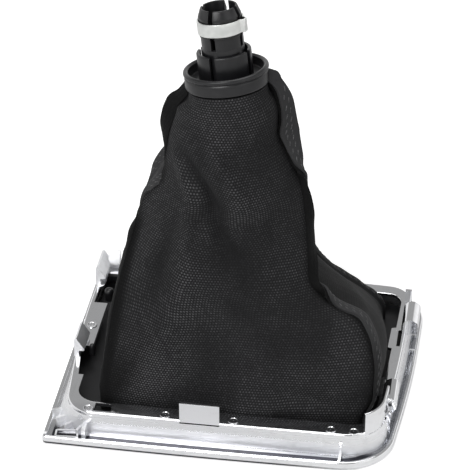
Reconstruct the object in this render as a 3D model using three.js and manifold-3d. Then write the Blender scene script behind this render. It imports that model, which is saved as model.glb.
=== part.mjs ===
// Gear lever gaiter, turned inside out and standing on its plated bezel.
// Millimetres, +Z up. The origin is the middle of the bezel on the surface that it stands on.
// The front of the bezel is at -Y, the viewer's right is +X.
import * as THREE from 'three';
import { mergeVertices } from 'three/addons/utils/BufferGeometryUtils.js';
import Module from 'manifold-3d';

const wasm = await Module();
wasm.setup();

// Main sizes: the bezel's show face, left to right and front to rear. Everything on the bezel is placed
// from its four edges.
const bezelLength = 142.5;
const bezelDepth = 121;
const rightEdge = bezelLength / 2;
const leftEdge = -rightEdge;
const rearEdge = bezelDepth / 2;
const frontEdge = -rearEdge;

// Outlines of the bezel, seen from above, as four corners each: front left, front right, rear right,
// rear left. r is the corner's radius, bow is how far the side that follows it swells outwards.
const flangeCorners = [
  { x: leftEdge + 0.05, y: frontEdge + 0.2, r: 1.6, bow: 0.6 },
  { x: rightEdge - 6.65, y: frontEdge - 0.1, r: 21, bow: 1.2 },
  { x: rightEdge + 0.05, y: rearEdge, r: 20, bow: 1 },
  { x: leftEdge + 0.05, y: rearEdge, r: 6, bow: 0 },
];
const wallCorners = [
  { x: leftEdge + 2.25, y: frontEdge + 6.8, r: 18, bow: 0 },
  { x: rightEdge - 9.45, y: frontEdge + 6.8, r: 16, bow: 0.8 },
  { x: rightEdge - 4.85, y: rearEdge - 7.3, r: 11, bow: 1.8 },
  { x: leftEdge + 2.25, y: rearEdge - 7.3, r: 9, bow: 0 },
];
const wallTopCorners = [
  { x: leftEdge + 7.45, y: frontEdge + 7.7, r: 13, bow: 0 },
  { x: rightEdge - 10.45, y: frontEdge + 7.7, r: 15, bow: 0.8 },
  { x: rightEdge - 5.95, y: rearEdge - 8.3, r: 10, bow: 1.8 },
  { x: leftEdge + 3.15, y: rearEdge - 8.3, r: 9, bow: 1.6 },
];
const openingCorners = [
  { x: leftEdge + 10.85, y: frontEdge + 15.1, r: 8, bow: 0 },
  { x: rightEdge - 14.85, y: frontEdge + 15.1, r: 8, bow: 0.6 },
  { x: rightEdge - 10.05, y: rearEdge - 14.5, r: 6, bow: 1.4 },
  { x: leftEdge + 10.85, y: rearEdge - 14.5, r: 6, bow: 0 },
];
const footCorners = [
  { x: leftEdge + 21.25, y: frontEdge + 21, r: 2, bow: 3.6 },
  { x: rightEdge - 19.75, y: frontEdge + 22, r: 2, bow: 2 },
  { x: rightEdge - 18.25, y: rearEdge - 22.5, r: 2, bow: 3 },
  { x: leftEdge + 21.25, y: rearEdge - 22.5, r: 2, bow: 3 },
];
const cornerSteps = 6;
const sideSteps = 4;

// Bezel section
const faceChamfer = 0.9;
const rimHeight = 3.9;
const rimThickness = 1.3;
const rimChamfer = 0.5;
const rimDraft = 0.2;
const lowRimHeight = 2.8;
const flangeThickness = 2.2;
const wallHeight = 11.8;
const wallThickness = 1.7;
const beadHeight = 2.2;
const beadStep = 0.3;
const wallEdgeRound = 0.5;
const ledgeThickness = 1.4;
const innerLip = 3;

// Raised features of the bezel
const plateThickness = 1.3;
const tabWidth = 15.7;
const tabCentreX = -9.8;
const tabRise = 8.3;
const cornerPlateRise = 9;
const cornerPlateStartX = rightEdge - 16.85;
const cornerPlateEndY = frontEdge + 30.5;
const pinDiameter = 4.6;
const pinHeight = 0.9;
const pinFromEdge = 4.6;
const frontPins = [-54.2, -23.7, 3.2, 41.3, 50.2];
const leftPinY = 5.6;
const leftPinFromEdge = 3.4;
const ribThickness = 1;
const gussetTurns = [202, 218, 234, 250];
const gussetLength = 3;
const hookRoot = 10.2;

// Fabric, and the carrier that its foot is fixed to
const fabricThickness = 1;
const clearance = 0.3;
const carrierThickness = 1.4;
const carrierUpstand = 4.6;
const upstandThickness = 1.5;
const carrierTop = flangeThickness + clearance + carrierThickness;
const rowsPerStation = 2;

// Collar, set on the neck of the gaiter and leaning with it
const collar = { x: -6.3, y: 0, z: 133.6, leanLeft: 7.5, leanBack: 7.5 };
const ringRadius = 16.1;
const lipRadius = 16.4;
const ringBandHeight = 4.9;
const ringHeight = 6.9;
const ringWall = 2.2;
const spigotRadius = 13.8;
const spigotWall = 1.4;
const spigotDepth = 5;
const floorHeight = 1.2;
const floorThickness = 1.4;
const sleeveRadius = 10.45;
const sleeveWall = 1.35;
const sleeveHeight = 13.6;
const sleeveSlot = 2.3;
const slitTurn = -107;
const colletRadius = 8.05;
const colletBore = 6.3;
const colletBottom = -6;
const colletFlangeRadius = 10.6;
const colletFlangeThickness = 1.8;
const colletSlit = 1.8;
const slitBottom = 15.5;
const beadRise = 0.35;
const beadWidth = 0.9;
const headRise = 0.15;
const headTopRadius = 6.95;
const headHeight = 4.6;
const clampBottom = 21.2;
const clampWidth = 5.1;
const clampThickness = 0.6;
const earRise = 1.5;
const earTurn = -12;
const earHalfAngle = 13;
const turnedSteps = 36;

const materials = {
  chrome: new THREE.MeshStandardMaterial({ color: 0xdfe1e6, roughness: 0.16, metalness: 1 }),
  fabric: new THREE.MeshStandardMaterial({ color: 0x1b1b1d, roughness: 0.88, metalness: 0 }),
  plastic: new THREE.MeshStandardMaterial({ color: 0x17171a, roughness: 0.42, metalness: 0 }),
  steel: new THREE.MeshStandardMaterial({ color: 0xd4d6d4, roughness: 0.3, metalness: 1 }),
};
const group = new THREE.Group();

// Corners moved inwards by a distance, square to both sides that meet there.
function insetCorners(corners, inset) {
  return corners.map((corner, i) => {
    const before = corners[(i + 3) % 4];
    const after = corners[(i + 1) % 4];
    const first = inwardNormal(before, corner);
    const second = inwardNormal(corner, after);
    const share = inset / (1 + first.dot(second));
    return {
      x: corner.x + (first.x + second.x) * share,
      y: corner.y + (first.y + second.y) * share,
      r: Math.max(corner.r - inset, 0.6),
      bow: corner.bow,
    };
  });
}

function inwardNormal(from, to) {
  return new THREE.Vector2(from.y - to.y, to.x - from.x).normalize();
}

// Walks an outline counterclockwise: an arc at each corner, then the side, bowed as half a sine wave.
function outlinePoints(corners) {
  const arcs = corners.map((corner, i) => {
    const at = new THREE.Vector2(corner.x, corner.y);
    const back = new THREE.Vector2(corners[(i + 3) % 4].x, corners[(i + 3) % 4].y).sub(at).normalize();
    const on = new THREE.Vector2(corners[(i + 1) % 4].x, corners[(i + 1) % 4].y).sub(at).normalize();
    const half = Math.acos(back.dot(on)) / 2;
    const centre = back.clone().add(on).normalize().multiplyScalar(corner.r / Math.sin(half)).add(at);
    const start = Math.atan2(-back.x, back.y) + Math.PI;
    const sweep = Math.PI - 2 * half;
    const points = [];
    for (let k = 0; k <= cornerSteps; k++) {
      const angle = start + (sweep * k) / cornerSteps;
      const spoke = new THREE.Vector2(Math.cos(angle), Math.sin(angle)).multiplyScalar(corner.r);
      points.push(centre.clone().add(spoke));
    }
    return points;
  });
  const walk = [];
  arcs.forEach((arc, i) => {
    walk.push(...arc);
    const from = arc[cornerSteps];
    const to = arcs[(i + 1) % 4][0];
    const outwards = inwardNormal(from, to).negate();
    for (let k = 1; k < sideSteps; k++) {
      const share = k / sideSteps;
      const swell = corners[i].bow * Math.sin(Math.PI * share);
      walk.push(from.clone().lerp(to, share).addScaledVector(outwards, swell));
    }
  });
  return walk;
}

// Carries a closed section round the outlines. Each point of the section names an outline, how far
// inside it the point lies, and its height. The section runs clockwise when its outer side is left.
function sweepSection(section) {
  const loops = section.map(([corners, inset, z]) => outlinePoints(insetCorners(corners, inset))
    .map((p) => new THREE.Vector3(p.x, p.y, z)));
  const around = loops[0].length;
  const positions = loops.flat().flatMap((p) => [p.x, p.y, p.z]);
  const faces = [];
  for (let i = 0; i < loops.length; i++) {
    for (let j = 0; j < around; j++) {
      const a = i * around + j;
      const b = i * around + ((j + 1) % around);
      const c = ((i + 1) % loops.length) * around + ((j + 1) % around);
      const d = ((i + 1) % loops.length) * around + j;
      faces.push(a, b, c, a, c, d);
    }
  }
  const geometry = new THREE.BufferGeometry();
  geometry.setAttribute('position', new THREE.Float32BufferAttribute(positions, 3));
  geometry.setIndex(faces);
  return geometry;
}

function toSolid(geometry) {
  const bare = geometry.clone();
  bare.deleteAttribute('normal');
  bare.deleteAttribute('uv');
  const merged = mergeVertices(bare, 1e-4);
  return new wasm.Manifold(new wasm.Mesh({
    numProp: 3,
    vertProperties: new Float32Array(merged.attributes.position.array),
    triVerts: new Uint32Array(merged.index.array),
  }));
}

function toGeometry(solid) {
  const mesh = solid.getMesh();
  const geometry = new THREE.BufferGeometry();
  geometry.setAttribute('position', new THREE.BufferAttribute(new Float32Array(mesh.vertProperties), 3));
  geometry.setIndex(new THREE.BufferAttribute(new Uint32Array(mesh.triVerts), 1));
  return geometry;
}

function addPiece(name, geometry, material, parent = group) {
  geometry.computeVertexNormals();
  const mesh = new THREE.Mesh(geometry, material);
  mesh.name = name;
  parent.add(mesh);
  return mesh;
}

// A block from its lowest to its highest corner, as a solid.
function block(x0, x1, y0, y1, z0, z1) {
  const box = new THREE.BoxGeometry(x1 - x0, y1 - y0, z1 - z0);
  box.translate((x0 + x1) / 2, (y0 + y1) / 2, (z0 + z1) / 2);
  return toSolid(box);
}

// A side profile of [across, height] points, extruded over a width and centred on it. Across runs
// along the direction that the turn gives, counted from +X.
function sideProfile(points, width, x, y, turn) {
  const shape = new THREE.Shape(points.map(([across, up]) => new THREE.Vector2(across, up)));
  const geometry = new THREE.ExtrudeGeometry(shape, { depth: width, bevelEnabled: false });
  geometry.translate(0, 0, -width / 2);
  geometry.rotateX(Math.PI / 2);
  geometry.rotateZ(THREE.MathUtils.degToRad(turn));
  geometry.translate(x, y, 0);
  return toSolid(geometry);
}

function makeBezel() {
  const bead = wallHeight - beadHeight;
  const ledgeUnder = wallHeight - ledgeThickness;
  const foot = wallThickness + innerLip;
  let bezel = toSolid(sweepSection([
    [flangeCorners, faceChamfer, 0],
    [flangeCorners, 0, faceChamfer],
    [flangeCorners, 0, rimHeight - rimChamfer],
    [flangeCorners, rimChamfer, rimHeight],
    [flangeCorners, rimThickness, rimHeight],
    [flangeCorners, rimThickness + rimDraft, flangeThickness],
    [wallCorners, 0, flangeThickness],
    [wallTopCorners, -beadStep, bead],
    [wallTopCorners, 0, bead + beadStep],
    [wallTopCorners, 0, wallHeight - wallEdgeRound],
    [wallTopCorners, wallEdgeRound, wallHeight],
    [openingCorners, 0, wallHeight],
    [openingCorners, 0, ledgeUnder],
    [wallTopCorners, wallThickness, ledgeUnder],
    [wallCorners, wallThickness, flangeThickness],
    [wallCorners, foot, flangeThickness],
    [wallCorners, foot, 0],
  ]));
  const rimInside = flangeCorners[0].x + rimThickness + rimDraft;
  bezel = bezel.subtract(block(rimInside - 9, rimInside, frontEdge + 3.5, 20, lowRimHeight, rimHeight + 1));
  for (const lobe of ledgeLobes()) bezel = bezel.add(lobe);
  for (const window of ledgeWindows()) bezel = bezel.subtract(window);
  const raised = [...raisedPlates(), ...pins(), ...snapHooks(), ...ribs()];
  for (const piece of raised) bezel = bezel.add(piece);
  return toGeometry(bezel);
}

// Places given by how far inside the left or right edge they lie.
function inFrom(edge, places) {
  return places.map(([inside, y]) => [edge - Math.sign(edge) * inside, y]);
}

// The ledge swells into the opening beside the two windows on the right.
function ledgeLobes() {
  const under = wallHeight - ledgeThickness;
  return [
    [[13.05, 7.6], [9.75, 6.6], [9.75, 22.2], [12.65, 21.2]],
    [[14.35, -25.5], [11.75, -26.5], [11.75, -12.5], [13.95, -13.5]],
  ].map((places) => slab(inFrom(rightEdge, places), under, wallHeight));
}

function ledgeWindows() {
  const under = wallHeight - ledgeThickness - 1;
  const over = wallHeight + 1;
  return [
    slab(inFrom(leftEdge, [[6.05, -9], [8.65, -28.5], [13.25, -28.5], [13.25, -9]]), under, over),
    slab(inFrom(leftEdge, [[5.05, 22], [13.25, 22], [13.25, 44], [6.85, 44], [6.85, 35], [5.05, 33]]),
      under, over),
    block(leftEdge + 19.25, leftEdge + 26.05, frontEdge + 9.3, frontEdge + 14.2, under, over),
    slab(inFrom(rightEdge, [[12.15, 8.8], [8.25, 8.8], [8.05, 20], [11.75, 20]]), under, over),
    slab(inFrom(rightEdge, [[13.45, -24.3], [10.05, -24.3], [9.75, -14.6], [13.05, -14.6]]), under, over),
  ];
}

function raisedPlates() {
  const front = wallTopCorners[0].y;
  const root = wallHeight - ledgeThickness;
  const top = wallHeight + cornerPlateRise;
  const finTop = wallHeight + 4;
  const tab = block(tabCentreX - tabWidth / 2, tabCentreX + tabWidth / 2,
    front, front + plateThickness, root, wallHeight + tabRise);
  const tallWall = toSolid(sweepSection([
    [wallTopCorners, 0, root],
    [wallTopCorners, 0, top],
    [wallTopCorners, plateThickness, top],
    [wallTopCorners, plateThickness, root],
  ]));
  const corner = block(cornerPlateStartX, bezelLength, -bezelDepth, cornerPlateEndY, 0, top + 1);
  const cornerPlate = tallWall.intersect(corner);
  const fin = block(rightEdge - 8.95, rightEdge - 6.25, rearEdge - 17.1, rearEdge - 15.9, root, finTop);
  return [tab, cornerPlate, fin];
}

function pins() {
  const places = frontPins.map((x) => [x, openingCorners[0].y - pinFromEdge]);
  places.push([openingCorners[0].x - leftPinFromEdge, leftPinY]);
  return places.map(([x, y]) => {
    const height = pinHeight + ledgeThickness;
    const geometry = new THREE.CylinderGeometry(pinDiameter / 2, pinDiameter / 2, height, 14);
    geometry.rotateX(Math.PI / 2);
    geometry.translate(x, y, wallHeight + (pinHeight - ledgeThickness) / 2);
    return toSolid(geometry);
  });
}

// Hooks on the left and rear lean their barbs inwards, those on the right outwards.
function snapHooks() {
  const inward = [[0, hookRoot], [0.2, 18.4], [1.1, 19.2], [4.3, 14.2], [4.3, 13.3], [2, 13.3],
    [1.8, hookRoot]];
  const outward = [[0, hookRoot], [0, 14.5], [1.5, 16.6], [4.2, 17.2], [6.6, 15.7], [7, 13.6],
    [6.5, 11.2], [3.4, 10.4], [1.8, 9.2]];
  const round = [[0, hookRoot], [0, 13.4], [1.3, 15.3], [3, 15.8], [4.8, 15.2], [5.5, 13.8],
    [5.1, 11.8], [3.4, 9.4], [2, 9.2]];
  return [
    sideProfile(inward, 12, leftEdge + 4.05, -9, 0),
    sideProfile(inward, 14, leftEdge + 2.65, 44.2, 0),
    sideProfile(inward, 4.8, leftEdge + 8.45, rearEdge - 8.1, -90),
    sideProfile(outward, 14, rightEdge - 8.65, 27, 0),
    sideProfile(round, 13.4, rightEdge - 11.65, -23.4, 0),
  ];
}

function ribs() {
  const floor = flangeThickness - 0.2;
  const corner = wallCorners[0];
  const gussets = gussetTurns.map((degrees) => {
    const angle = THREE.MathUtils.degToRad(degrees);
    const reach = [corner.r - 1, corner.r + gussetLength];
    return reach.flatMap((radius) => [
      corner.x + corner.r + radius * Math.cos(angle),
      corner.y + corner.r + radius * Math.sin(angle),
    ]);
  });
  const smallRibX = rightEdge - 25.65;
  const crossRibs = [
    [rightEdge - 6.25, 29.2, rightEdge - 1.85, 29.2],
    [rightEdge - 6.45, 18.5, rightEdge - 2.25, 18.5],
    [smallRibX, frontEdge + 0.9, smallRibX, frontEdge + 7.5],
  ];
  const [near, far, nearTop, farTop] = [[5.05, 2.5], [13.65, 3.1], [4.85, 6.5], [13.05, 7.3]]
    .map(([x, y]) => [leftEdge + x, frontEdge + y]);
  const pocket = [[...near, ...far], [...far, ...farTop], [...nearTop, ...farTop], [...near, ...nearTop]];
  return [
    ...gussets.map((line) => rib(line, ribThickness, floor, flangeThickness + 2.4)),
    ...pocket.map((line) => rib(line, 0.7, floor, flangeThickness + 0.8)),
    rib([leftEdge + 16.25, frontEdge + 2.5, leftEdge + 16.25, frontEdge + 7.9], 1.6, floor, 6.8),
    ...crossRibs.map((line) => rib(line, ribThickness, floor, rimHeight - 0.2)),
    rib([smallRibX, frontEdge + 5.9, smallRibX, frontEdge + 7.3], ribThickness, floor, 8.4),
    rib([rightEdge - 7.95, -35.8, rightEdge - 9.45, -35.8], ribThickness, floor, wallHeight + 3),
    rib([rightEdge - 8.45, -28, rightEdge - 9.65, -28], ribThickness, floor, wallHeight),
  ];
}

// A flat plate from a list of [x, y] corners.
function slab(corners, z0, z1) {
  const shape = new THREE.Shape(corners.map(([x, y]) => new THREE.Vector2(x, y)));
  const geometry = new THREE.ExtrudeGeometry(shape, { depth: z1 - z0, bevelEnabled: false });
  geometry.translate(0, 0, z0);
  return toSolid(geometry);
}

// A thin upright wall along the line [x0, y0, x1, y1].
function rib([x0, y0, x1, y1], thickness, z0, z1) {
  const side = new THREE.Vector2(y0 - y1, x1 - x0).setLength(thickness / 2);
  return slab([
    [x0 - side.x, y0 - side.y], [x1 - side.x, y1 - side.y],
    [x1 + side.x, y1 + side.y], [x0 + side.x, y0 + side.y],
  ], z0, z1);
}

function makeCarrier() {
  const bottom = flangeThickness + clearance;
  const outer = wallThickness + clearance;
  const face = fabricThickness / 2 + clearance;
  return sweepSection([
    [wallCorners, outer, bottom],
    [wallCorners, outer + 1, carrierTop],
    [footCorners, face, carrierTop],
    [footCorners, face, carrierTop + carrierUpstand],
    [footCorners, face + upstandThickness, carrierTop + carrierUpstand],
    [footCorners, face + upstandThickness, bottom],
  ]);
}

// Direction of the collar's axis, and a point given in turns round it.
const collarAxis = new THREE.Vector3(
  -Math.tan(THREE.MathUtils.degToRad(collar.leanLeft)),
  Math.tan(THREE.MathUtils.degToRad(collar.leanBack)),
  1,
).normalize();
const collarTurn = new THREE.Quaternion().setFromUnitVectors(new THREE.Vector3(0, 0, 1), collarAxis);

function onCollar(radius, degrees, up) {
  const angle = THREE.MathUtils.degToRad(degrees);
  return new THREE.Vector3(radius * Math.cos(angle), radius * Math.sin(angle), up)
    .applyQuaternion(collarTurn)
    .add(new THREE.Vector3(collar.x, collar.y, collar.z));
}

// Each seam runs from the neck, which it leaves at a turn round the collar, to a corner of the foot.
// Its allowance stands out between the two panels, leaning towards the one that follows it.
const neckRadius = spigotRadius + clearance + fabricThickness / 2;
const neckTop = -clearance - fabricThickness / 2;
const neckBottom = -spigotDepth - 1;
const hemHeight = carrierTop + clearance;
const hemTop = carrierTop + carrierUpstand + 1;
const seams = {
  frontLeft: {
    turn: 184,
    lean: -0.7,
    line: [[-22, -2.2, 121], [-24.8, -4, 113], [-27.8, -6.5, 106], [-30, -8, 94], [-38.5, -6, 83],
      [-42, -8.5, 72], [-45, -13, 62], [-48, -17, 52], [-50.5, -21.5, 41], [-52, -27, 29], [-52, -35, 17]],
  },
  frontRight: {
    turn: 12,
    lean: 0.85,
    line: [[10.6, 2, 121], [12.6, 1.5, 112], [18, -0.7, 102], [22.6, -2.5, 91.5], [25, -6, 78.5],
      [26.5, -9.8, 65], [28.5, -14.3, 54], [37, -19, 48.4], [48.5, -27, 47], [54.6, -33, 36], [55, -37, 20]],
  },
  rearRight: {
    turn: 50,
    lean: 0.9,
    line: [[5.6, 10.6, 121], [8, 11.8, 112], [10, 13.8, 102], [14, 16, 91], [17, 17, 78], [19.5, 19, 64],
      [22, 22, 51], [27.5, 26, 40], [35, 31, 29.5], [44, 35, 21], [50.5, 37.5, 14]],
  },
  rearLeft: {
    turn: 140,
    lean: -0.2,
    line: [[-17, 8.6, 121], [-19.4, 10.4, 112], [-22.8, 12.8, 103], [-27.5, 15.5, 93], [-35, 18, 82],
      [-38, 20, 70], [-41, 23, 58], [-44, 26, 47], [-47, 30, 36], [-50, 34, 25], [-50.5, 37, 16]],
  },
};
Object.values(seams).forEach((seam, i) => {
  const foot = footCorners[i];
  seam.curve = new THREE.CatmullRomCurve3([
    onCollar(neckRadius, seam.turn, neckTop),
    onCollar(neckRadius, seam.turn, neckBottom),
    ...seam.line.map((place) => new THREE.Vector3(...place)),
    new THREE.Vector3(foot.x, foot.y, hemTop),
    new THREE.Vector3(foot.x, foot.y, hemHeight),
  ]);
});
const stations = seams.frontLeft.curve.points.length;
const allowance = 6.2;
const allowanceAtFoot = 2;

// How far each panel swells between its seams at each place of their lines, and how much of that
// swell is a round one. A fold is a ridge, or with a negative height a furrow, that runs from one
// place on the panel to another.
const panels = {
  front_panel: {
    seams: ['frontLeft', 'frontRight'],
    columns: 16,
    swell: [15.6, 16, 16.5, 17, 17, 16, 15, 13, 11, 9, 6],
    round: [0.9, 0.7, 0.5, 0.35, 0.25, 0.2, 0.15, 0.1, 0.1, 0.1, 0.1],
    folds: [
      { from: [0.3, 0.15], to: [0.2, 0.85], width: 0.07, height: 2.2 },
      { from: [0.42, 0.28], to: [0.5, 0.6], width: 0.08, height: -2.4 },
      { from: [0.22, 0.45], to: [0.12, 0.8], width: 0.06, height: -2 },
      { from: [0.6, 0.24], to: [0.68, 0.7], width: 0.1, height: 1.4 },
    ],
  },
  right_panel: {
    seams: ['frontRight', 'rearRight'],
    columns: 8,
    swell: [1.2, 1, 1, 1, 1, 1, 1.5, 3, 4, 5, 4],
    round: Array(11).fill(0),
    folds: [
      { from: [0.3, 0.5], to: [0.5, 0.75], width: 0.14, height: 1.6 },
      { from: [0.62, 0.5], to: [0.75, 0.8], width: 0.12, height: -1.5 },
    ],
  },
  rear_panel: {
    seams: ['rearRight', 'rearLeft'],
    columns: 12,
    swell: [5, 6, 7, 8, 9, 9, 9, 8, 7, 6, 4],
    round: Array(11).fill(0),
    folds: [
      { from: [0.35, 0.2], to: [0.25, 0.85], width: 0.09, height: 2 },
      { from: [0.6, 0.2], to: [0.7, 0.8], width: 0.1, height: -2 },
    ],
  },
  left_panel: {
    seams: ['rearLeft', 'frontLeft'],
    columns: 8,
    swell: [1.5, 2, 1.5, 3, 2, 4, 5, 4.5, 4.5, 5, 5],
    round: Array(11).fill(0),
    folds: [
      { from: [0.4, 0.3], to: [0.3, 0.8], width: 0.14, height: 1.6 },
      { from: [0.7, 0.4], to: [0.7, 0.8], width: 0.12, height: -1.4 },
    ],
  },
};

// The value at a share of the way from neck to foot, from a list with one value for each station.
function valueAlong(values, down) {
  const points = values.map((value, i) => new THREE.Vector2(i, value));
  return new THREE.SplineCurve(points).getPoint(down).y;
}

// Height of the folds at a place on a panel: across runs from seam to seam, down from neck to foot.
function foldHeight(folds, across, down) {
  let height = 0;
  for (const { from, to, width, height: peak } of folds) {
    const share = (down - from[1]) / (to[1] - from[1]);
    if (share <= 0 || share >= 1) continue;
    const middle = from[0] + (to[0] - from[0]) * share;
    const away = (across - middle) / width;
    height += peak * Math.sin(Math.PI * share) * Math.exp(-away * away) * Math.sin(Math.PI * across);
  }
  return height;
}

// How tightly the collar holds the fabric: fully as far as the second station, then less and less.
function heldByCollar(down) {
  return 1 - THREE.MathUtils.smoothstep(down * (stations - 1), 1, 2.5);
}

function onNeck(turn, down) {
  const height = THREE.MathUtils.lerp(neckTop, neckBottom, down * (stations - 1));
  return onCollar(neckRadius, turn, height);
}

function onSeam(name, down) {
  const seam = seams[name];
  return seam.curve.getPoint(down).lerp(onNeck(seam.turn, down), heldByCollar(down));
}

function seamTangent(name, down) {
  const step = 0.01;
  const ahead = onSeam(name, Math.min(down + step, 1));
  return ahead.sub(onSeam(name, Math.max(down - step, 0))).normalize();
}

// A place on the middle surface of a panel.
function onPanel(panel, across, down) {
  const [first, second] = panel.seams.map((name) => seams[name]);
  const [from, to] = panel.seams.map((name) => onSeam(name, down));
  const foot = footCorners[Object.keys(seams).indexOf(panel.seams[0])];
  const swell = valueAlong([0, 0, ...panel.swell, foot.bow, foot.bow], down);
  const round = valueAlong([1, 1, ...panel.round, 0, 0], down);
  const share = THREE.MathUtils.lerp(across, (1 - Math.cos(Math.PI * across)) / 2, round);
  const outwards = new THREE.Vector3(to.y - from.y, from.x - to.x, 0).normalize();
  const place = from.clone().lerp(to, share);
  place.addScaledVector(outwards, swell * Math.sin(Math.PI * across) + foldHeight(panel.folds, across, down));
  const sweep = (second.turn - first.turn + 360) % 360;
  return place.lerp(onNeck(first.turn + sweep * across, down), heldByCollar(down));
}

// The way out of a seam, square to it, between the two panels that meet there.
function wayOut(name, down) {
  const seam = seams[name];
  const [before, after] = ['1', '0'].map((end) => Object.values(panels).find((p) => p.seams[end] === name));
  const middle = onSeam(name, down);
  const along = seamTangent(name, down);
  const lean = seam.lean * THREE.MathUtils.smoothstep(down * (stations - 1), 1, 5);
  const towards = [onPanel(before, 0.94, down), onPanel(after, 0.06, down)]
    .map((place) => place.sub(middle).projectOnPlane(along).normalize());
  const axisPoint = collarAxis.clone().multiplyScalar((middle.z - collar.z) / collarAxis.z)
    .add(new THREE.Vector3(collar.x, collar.y, collar.z));
  const radial = middle.sub(axisPoint).projectOnPlane(along).normalize();
  return radial.multiplyScalar(0.5 + heldByCollar(down))
    .addScaledVector(towards[0], -1 - lean)
    .addScaledVector(towards[1], -1 + lean)
    .normalize();
}

// A place on the allowance at a panel's edge, at a share of its width from the seam, and the way that
// it faces. Its middle surface stays half the fabric and half the clearance away from the seam.
function onAllowance(panel, end, share, down) {
  const name = panel.seams[end];
  const along = seamTangent(name, down);
  const out = wayOut(name, down);
  const aside = new THREE.Vector3().crossVectors(out, along).normalize().multiplyScalar(end ? -1 : 1);
  const width = THREE.MathUtils.lerp(allowance, allowanceAtFoot, THREE.MathUtils.smoothstep(down, 0.1, 1));
  const place = onSeam(name, down)
    .addScaledVector(aside, (fabricThickness + clearance) / 2)
    .addScaledVector(out, width * share);
  return { place, facing: share > 0 ? aside : null };
}

function makePanel(panel) {
  const rows = (stations - 1) * rowsPerStation;
  const grid = [];
  for (let i = 0; i <= rows; i++) {
    const down = i / rows;
    const row = [1, 0.5, 0].map((share) => onAllowance(panel, 0, share, down));
    for (let j = 1; j < panel.columns; j++) row.push({ place: onPanel(panel, j / panel.columns, down) });
    row.push(...[0, 0.5, 1].map((share) => onAllowance(panel, 1, share, down)));
    grid.push(row);
  }
  return thicken(grid, fabricThickness);
}

// A grid of places given half its thickness to both sides and closed round its edge. Where a place
// doesn't say which way it faces, its neighbours tell. The grid's two halves are split into
// triangles as mirror images, so that allowances laid side by side match.
function thicken(grid, thickness) {
  const rows = grid.length;
  const columns = grid[0].length;
  const positions = [];
  for (const side of [1, -1]) {
    for (let i = 0; i < rows; i++) {
      for (let j = 0; j < columns; j++) {
        const [right, left] = [Math.min(j + 1, columns - 1), Math.max(j - 1, 0)];
        const [below, above] = [Math.min(i + 1, rows - 1), Math.max(i - 1, 0)];
        const across = grid[i][right].place.clone().sub(grid[i][left].place);
        const down = grid[below][j].place.clone().sub(grid[above][j].place);
        const facing = grid[i][j].facing ?? down.cross(across).normalize();
        const p = grid[i][j].place.clone().addScaledVector(facing, (side * thickness) / 2);
        positions.push(p.x, p.y, p.z);
      }
    }
  }
  const count = rows * columns;
  const faces = [];
  const quad = (a, b, c, d) => faces.push(a, b, c, a, c, d);
  const mirrored = (a, b, c, d) => faces.push(b, c, d, b, d, a);
  for (let i = 0; i < rows - 1; i++) {
    for (let j = 0; j < columns - 1; j++) {
      const a = i * columns + j;
      const front = j < (columns - 1) / 2 ? mirrored : quad;
      front(a, a + columns, a + columns + 1, a + 1);
      front(count + a, count + a + 1, count + a + columns + 1, count + a + columns);
    }
    const left = i * columns;
    const right = left + columns - 1;
    quad(left, count + left, count + left + columns, left + columns);
    quad(right, right + columns, count + right + columns, count + right);
  }
  for (let j = 0; j < columns - 1; j++) {
    const last = (rows - 1) * columns + j;
    quad(j, j + 1, count + j + 1, count + j);
    quad(last, count + last, count + last + 1, last + 1);
  }
  const geometry = new THREE.BufferGeometry();
  geometry.setAttribute('position', new THREE.Float32BufferAttribute(positions, 3));
  geometry.setIndex(faces);
  return geometry;
}

// A turned piece from a closed profile of [radius, height] points.
function turned(profile) {
  const points = [...profile, profile[0]].map(([radius, up]) => new THREE.Vector2(radius, up));
  const geometry = new THREE.LatheGeometry(points, turnedSteps);
  geometry.rotateX(Math.PI / 2);
  return toSolid(geometry);
}

// Four radial slots, one every quarter turn.
function slots(width, radius, z0, z1) {
  return [0, 90, 180, 270].map((degrees) => {
    const box = new THREE.BoxGeometry(radius, width, z1 - z0);
    box.translate(radius / 2, 0, (z0 + z1) / 2);
    box.rotateZ(THREE.MathUtils.degToRad(slitTurn + degrees));
    return toSolid(box);
  });
}

function makeCollarRing() {
  const inner = lipRadius - ringWall;
  const bore = sleeveRadius - sleeveWall;
  const floorTop = floorHeight + floorThickness;
  const edge = 0.35;
  let ring = turned([
    [spigotRadius, -spigotDepth],
    [spigotRadius, 0],
    [ringRadius, 0],
    [ringRadius, ringBandHeight - 0.2],
    [ringRadius - 0.3, ringBandHeight],
    [lipRadius, ringBandHeight + 0.7],
    [lipRadius - 0.3, ringHeight - 0.4],
    [lipRadius - ringWall / 2, ringHeight],
    [inner + 0.2, ringHeight - 0.6],
    [inner, floorTop],
    [sleeveRadius, floorTop],
    [sleeveRadius, sleeveHeight - edge],
    [sleeveRadius - edge, sleeveHeight],
    [bore, sleeveHeight],
    [bore, floorHeight],
    [spigotRadius - spigotWall, floorHeight],
    [spigotRadius - spigotWall, -spigotDepth],
  ]);
  const sleeveSlots = slots(sleeveSlot, sleeveRadius + 1, floorTop, sleeveHeight + 1);
  for (const slot of sleeveSlots) ring = ring.subtract(slot);
  return toGeometry(ring);
}

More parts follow.
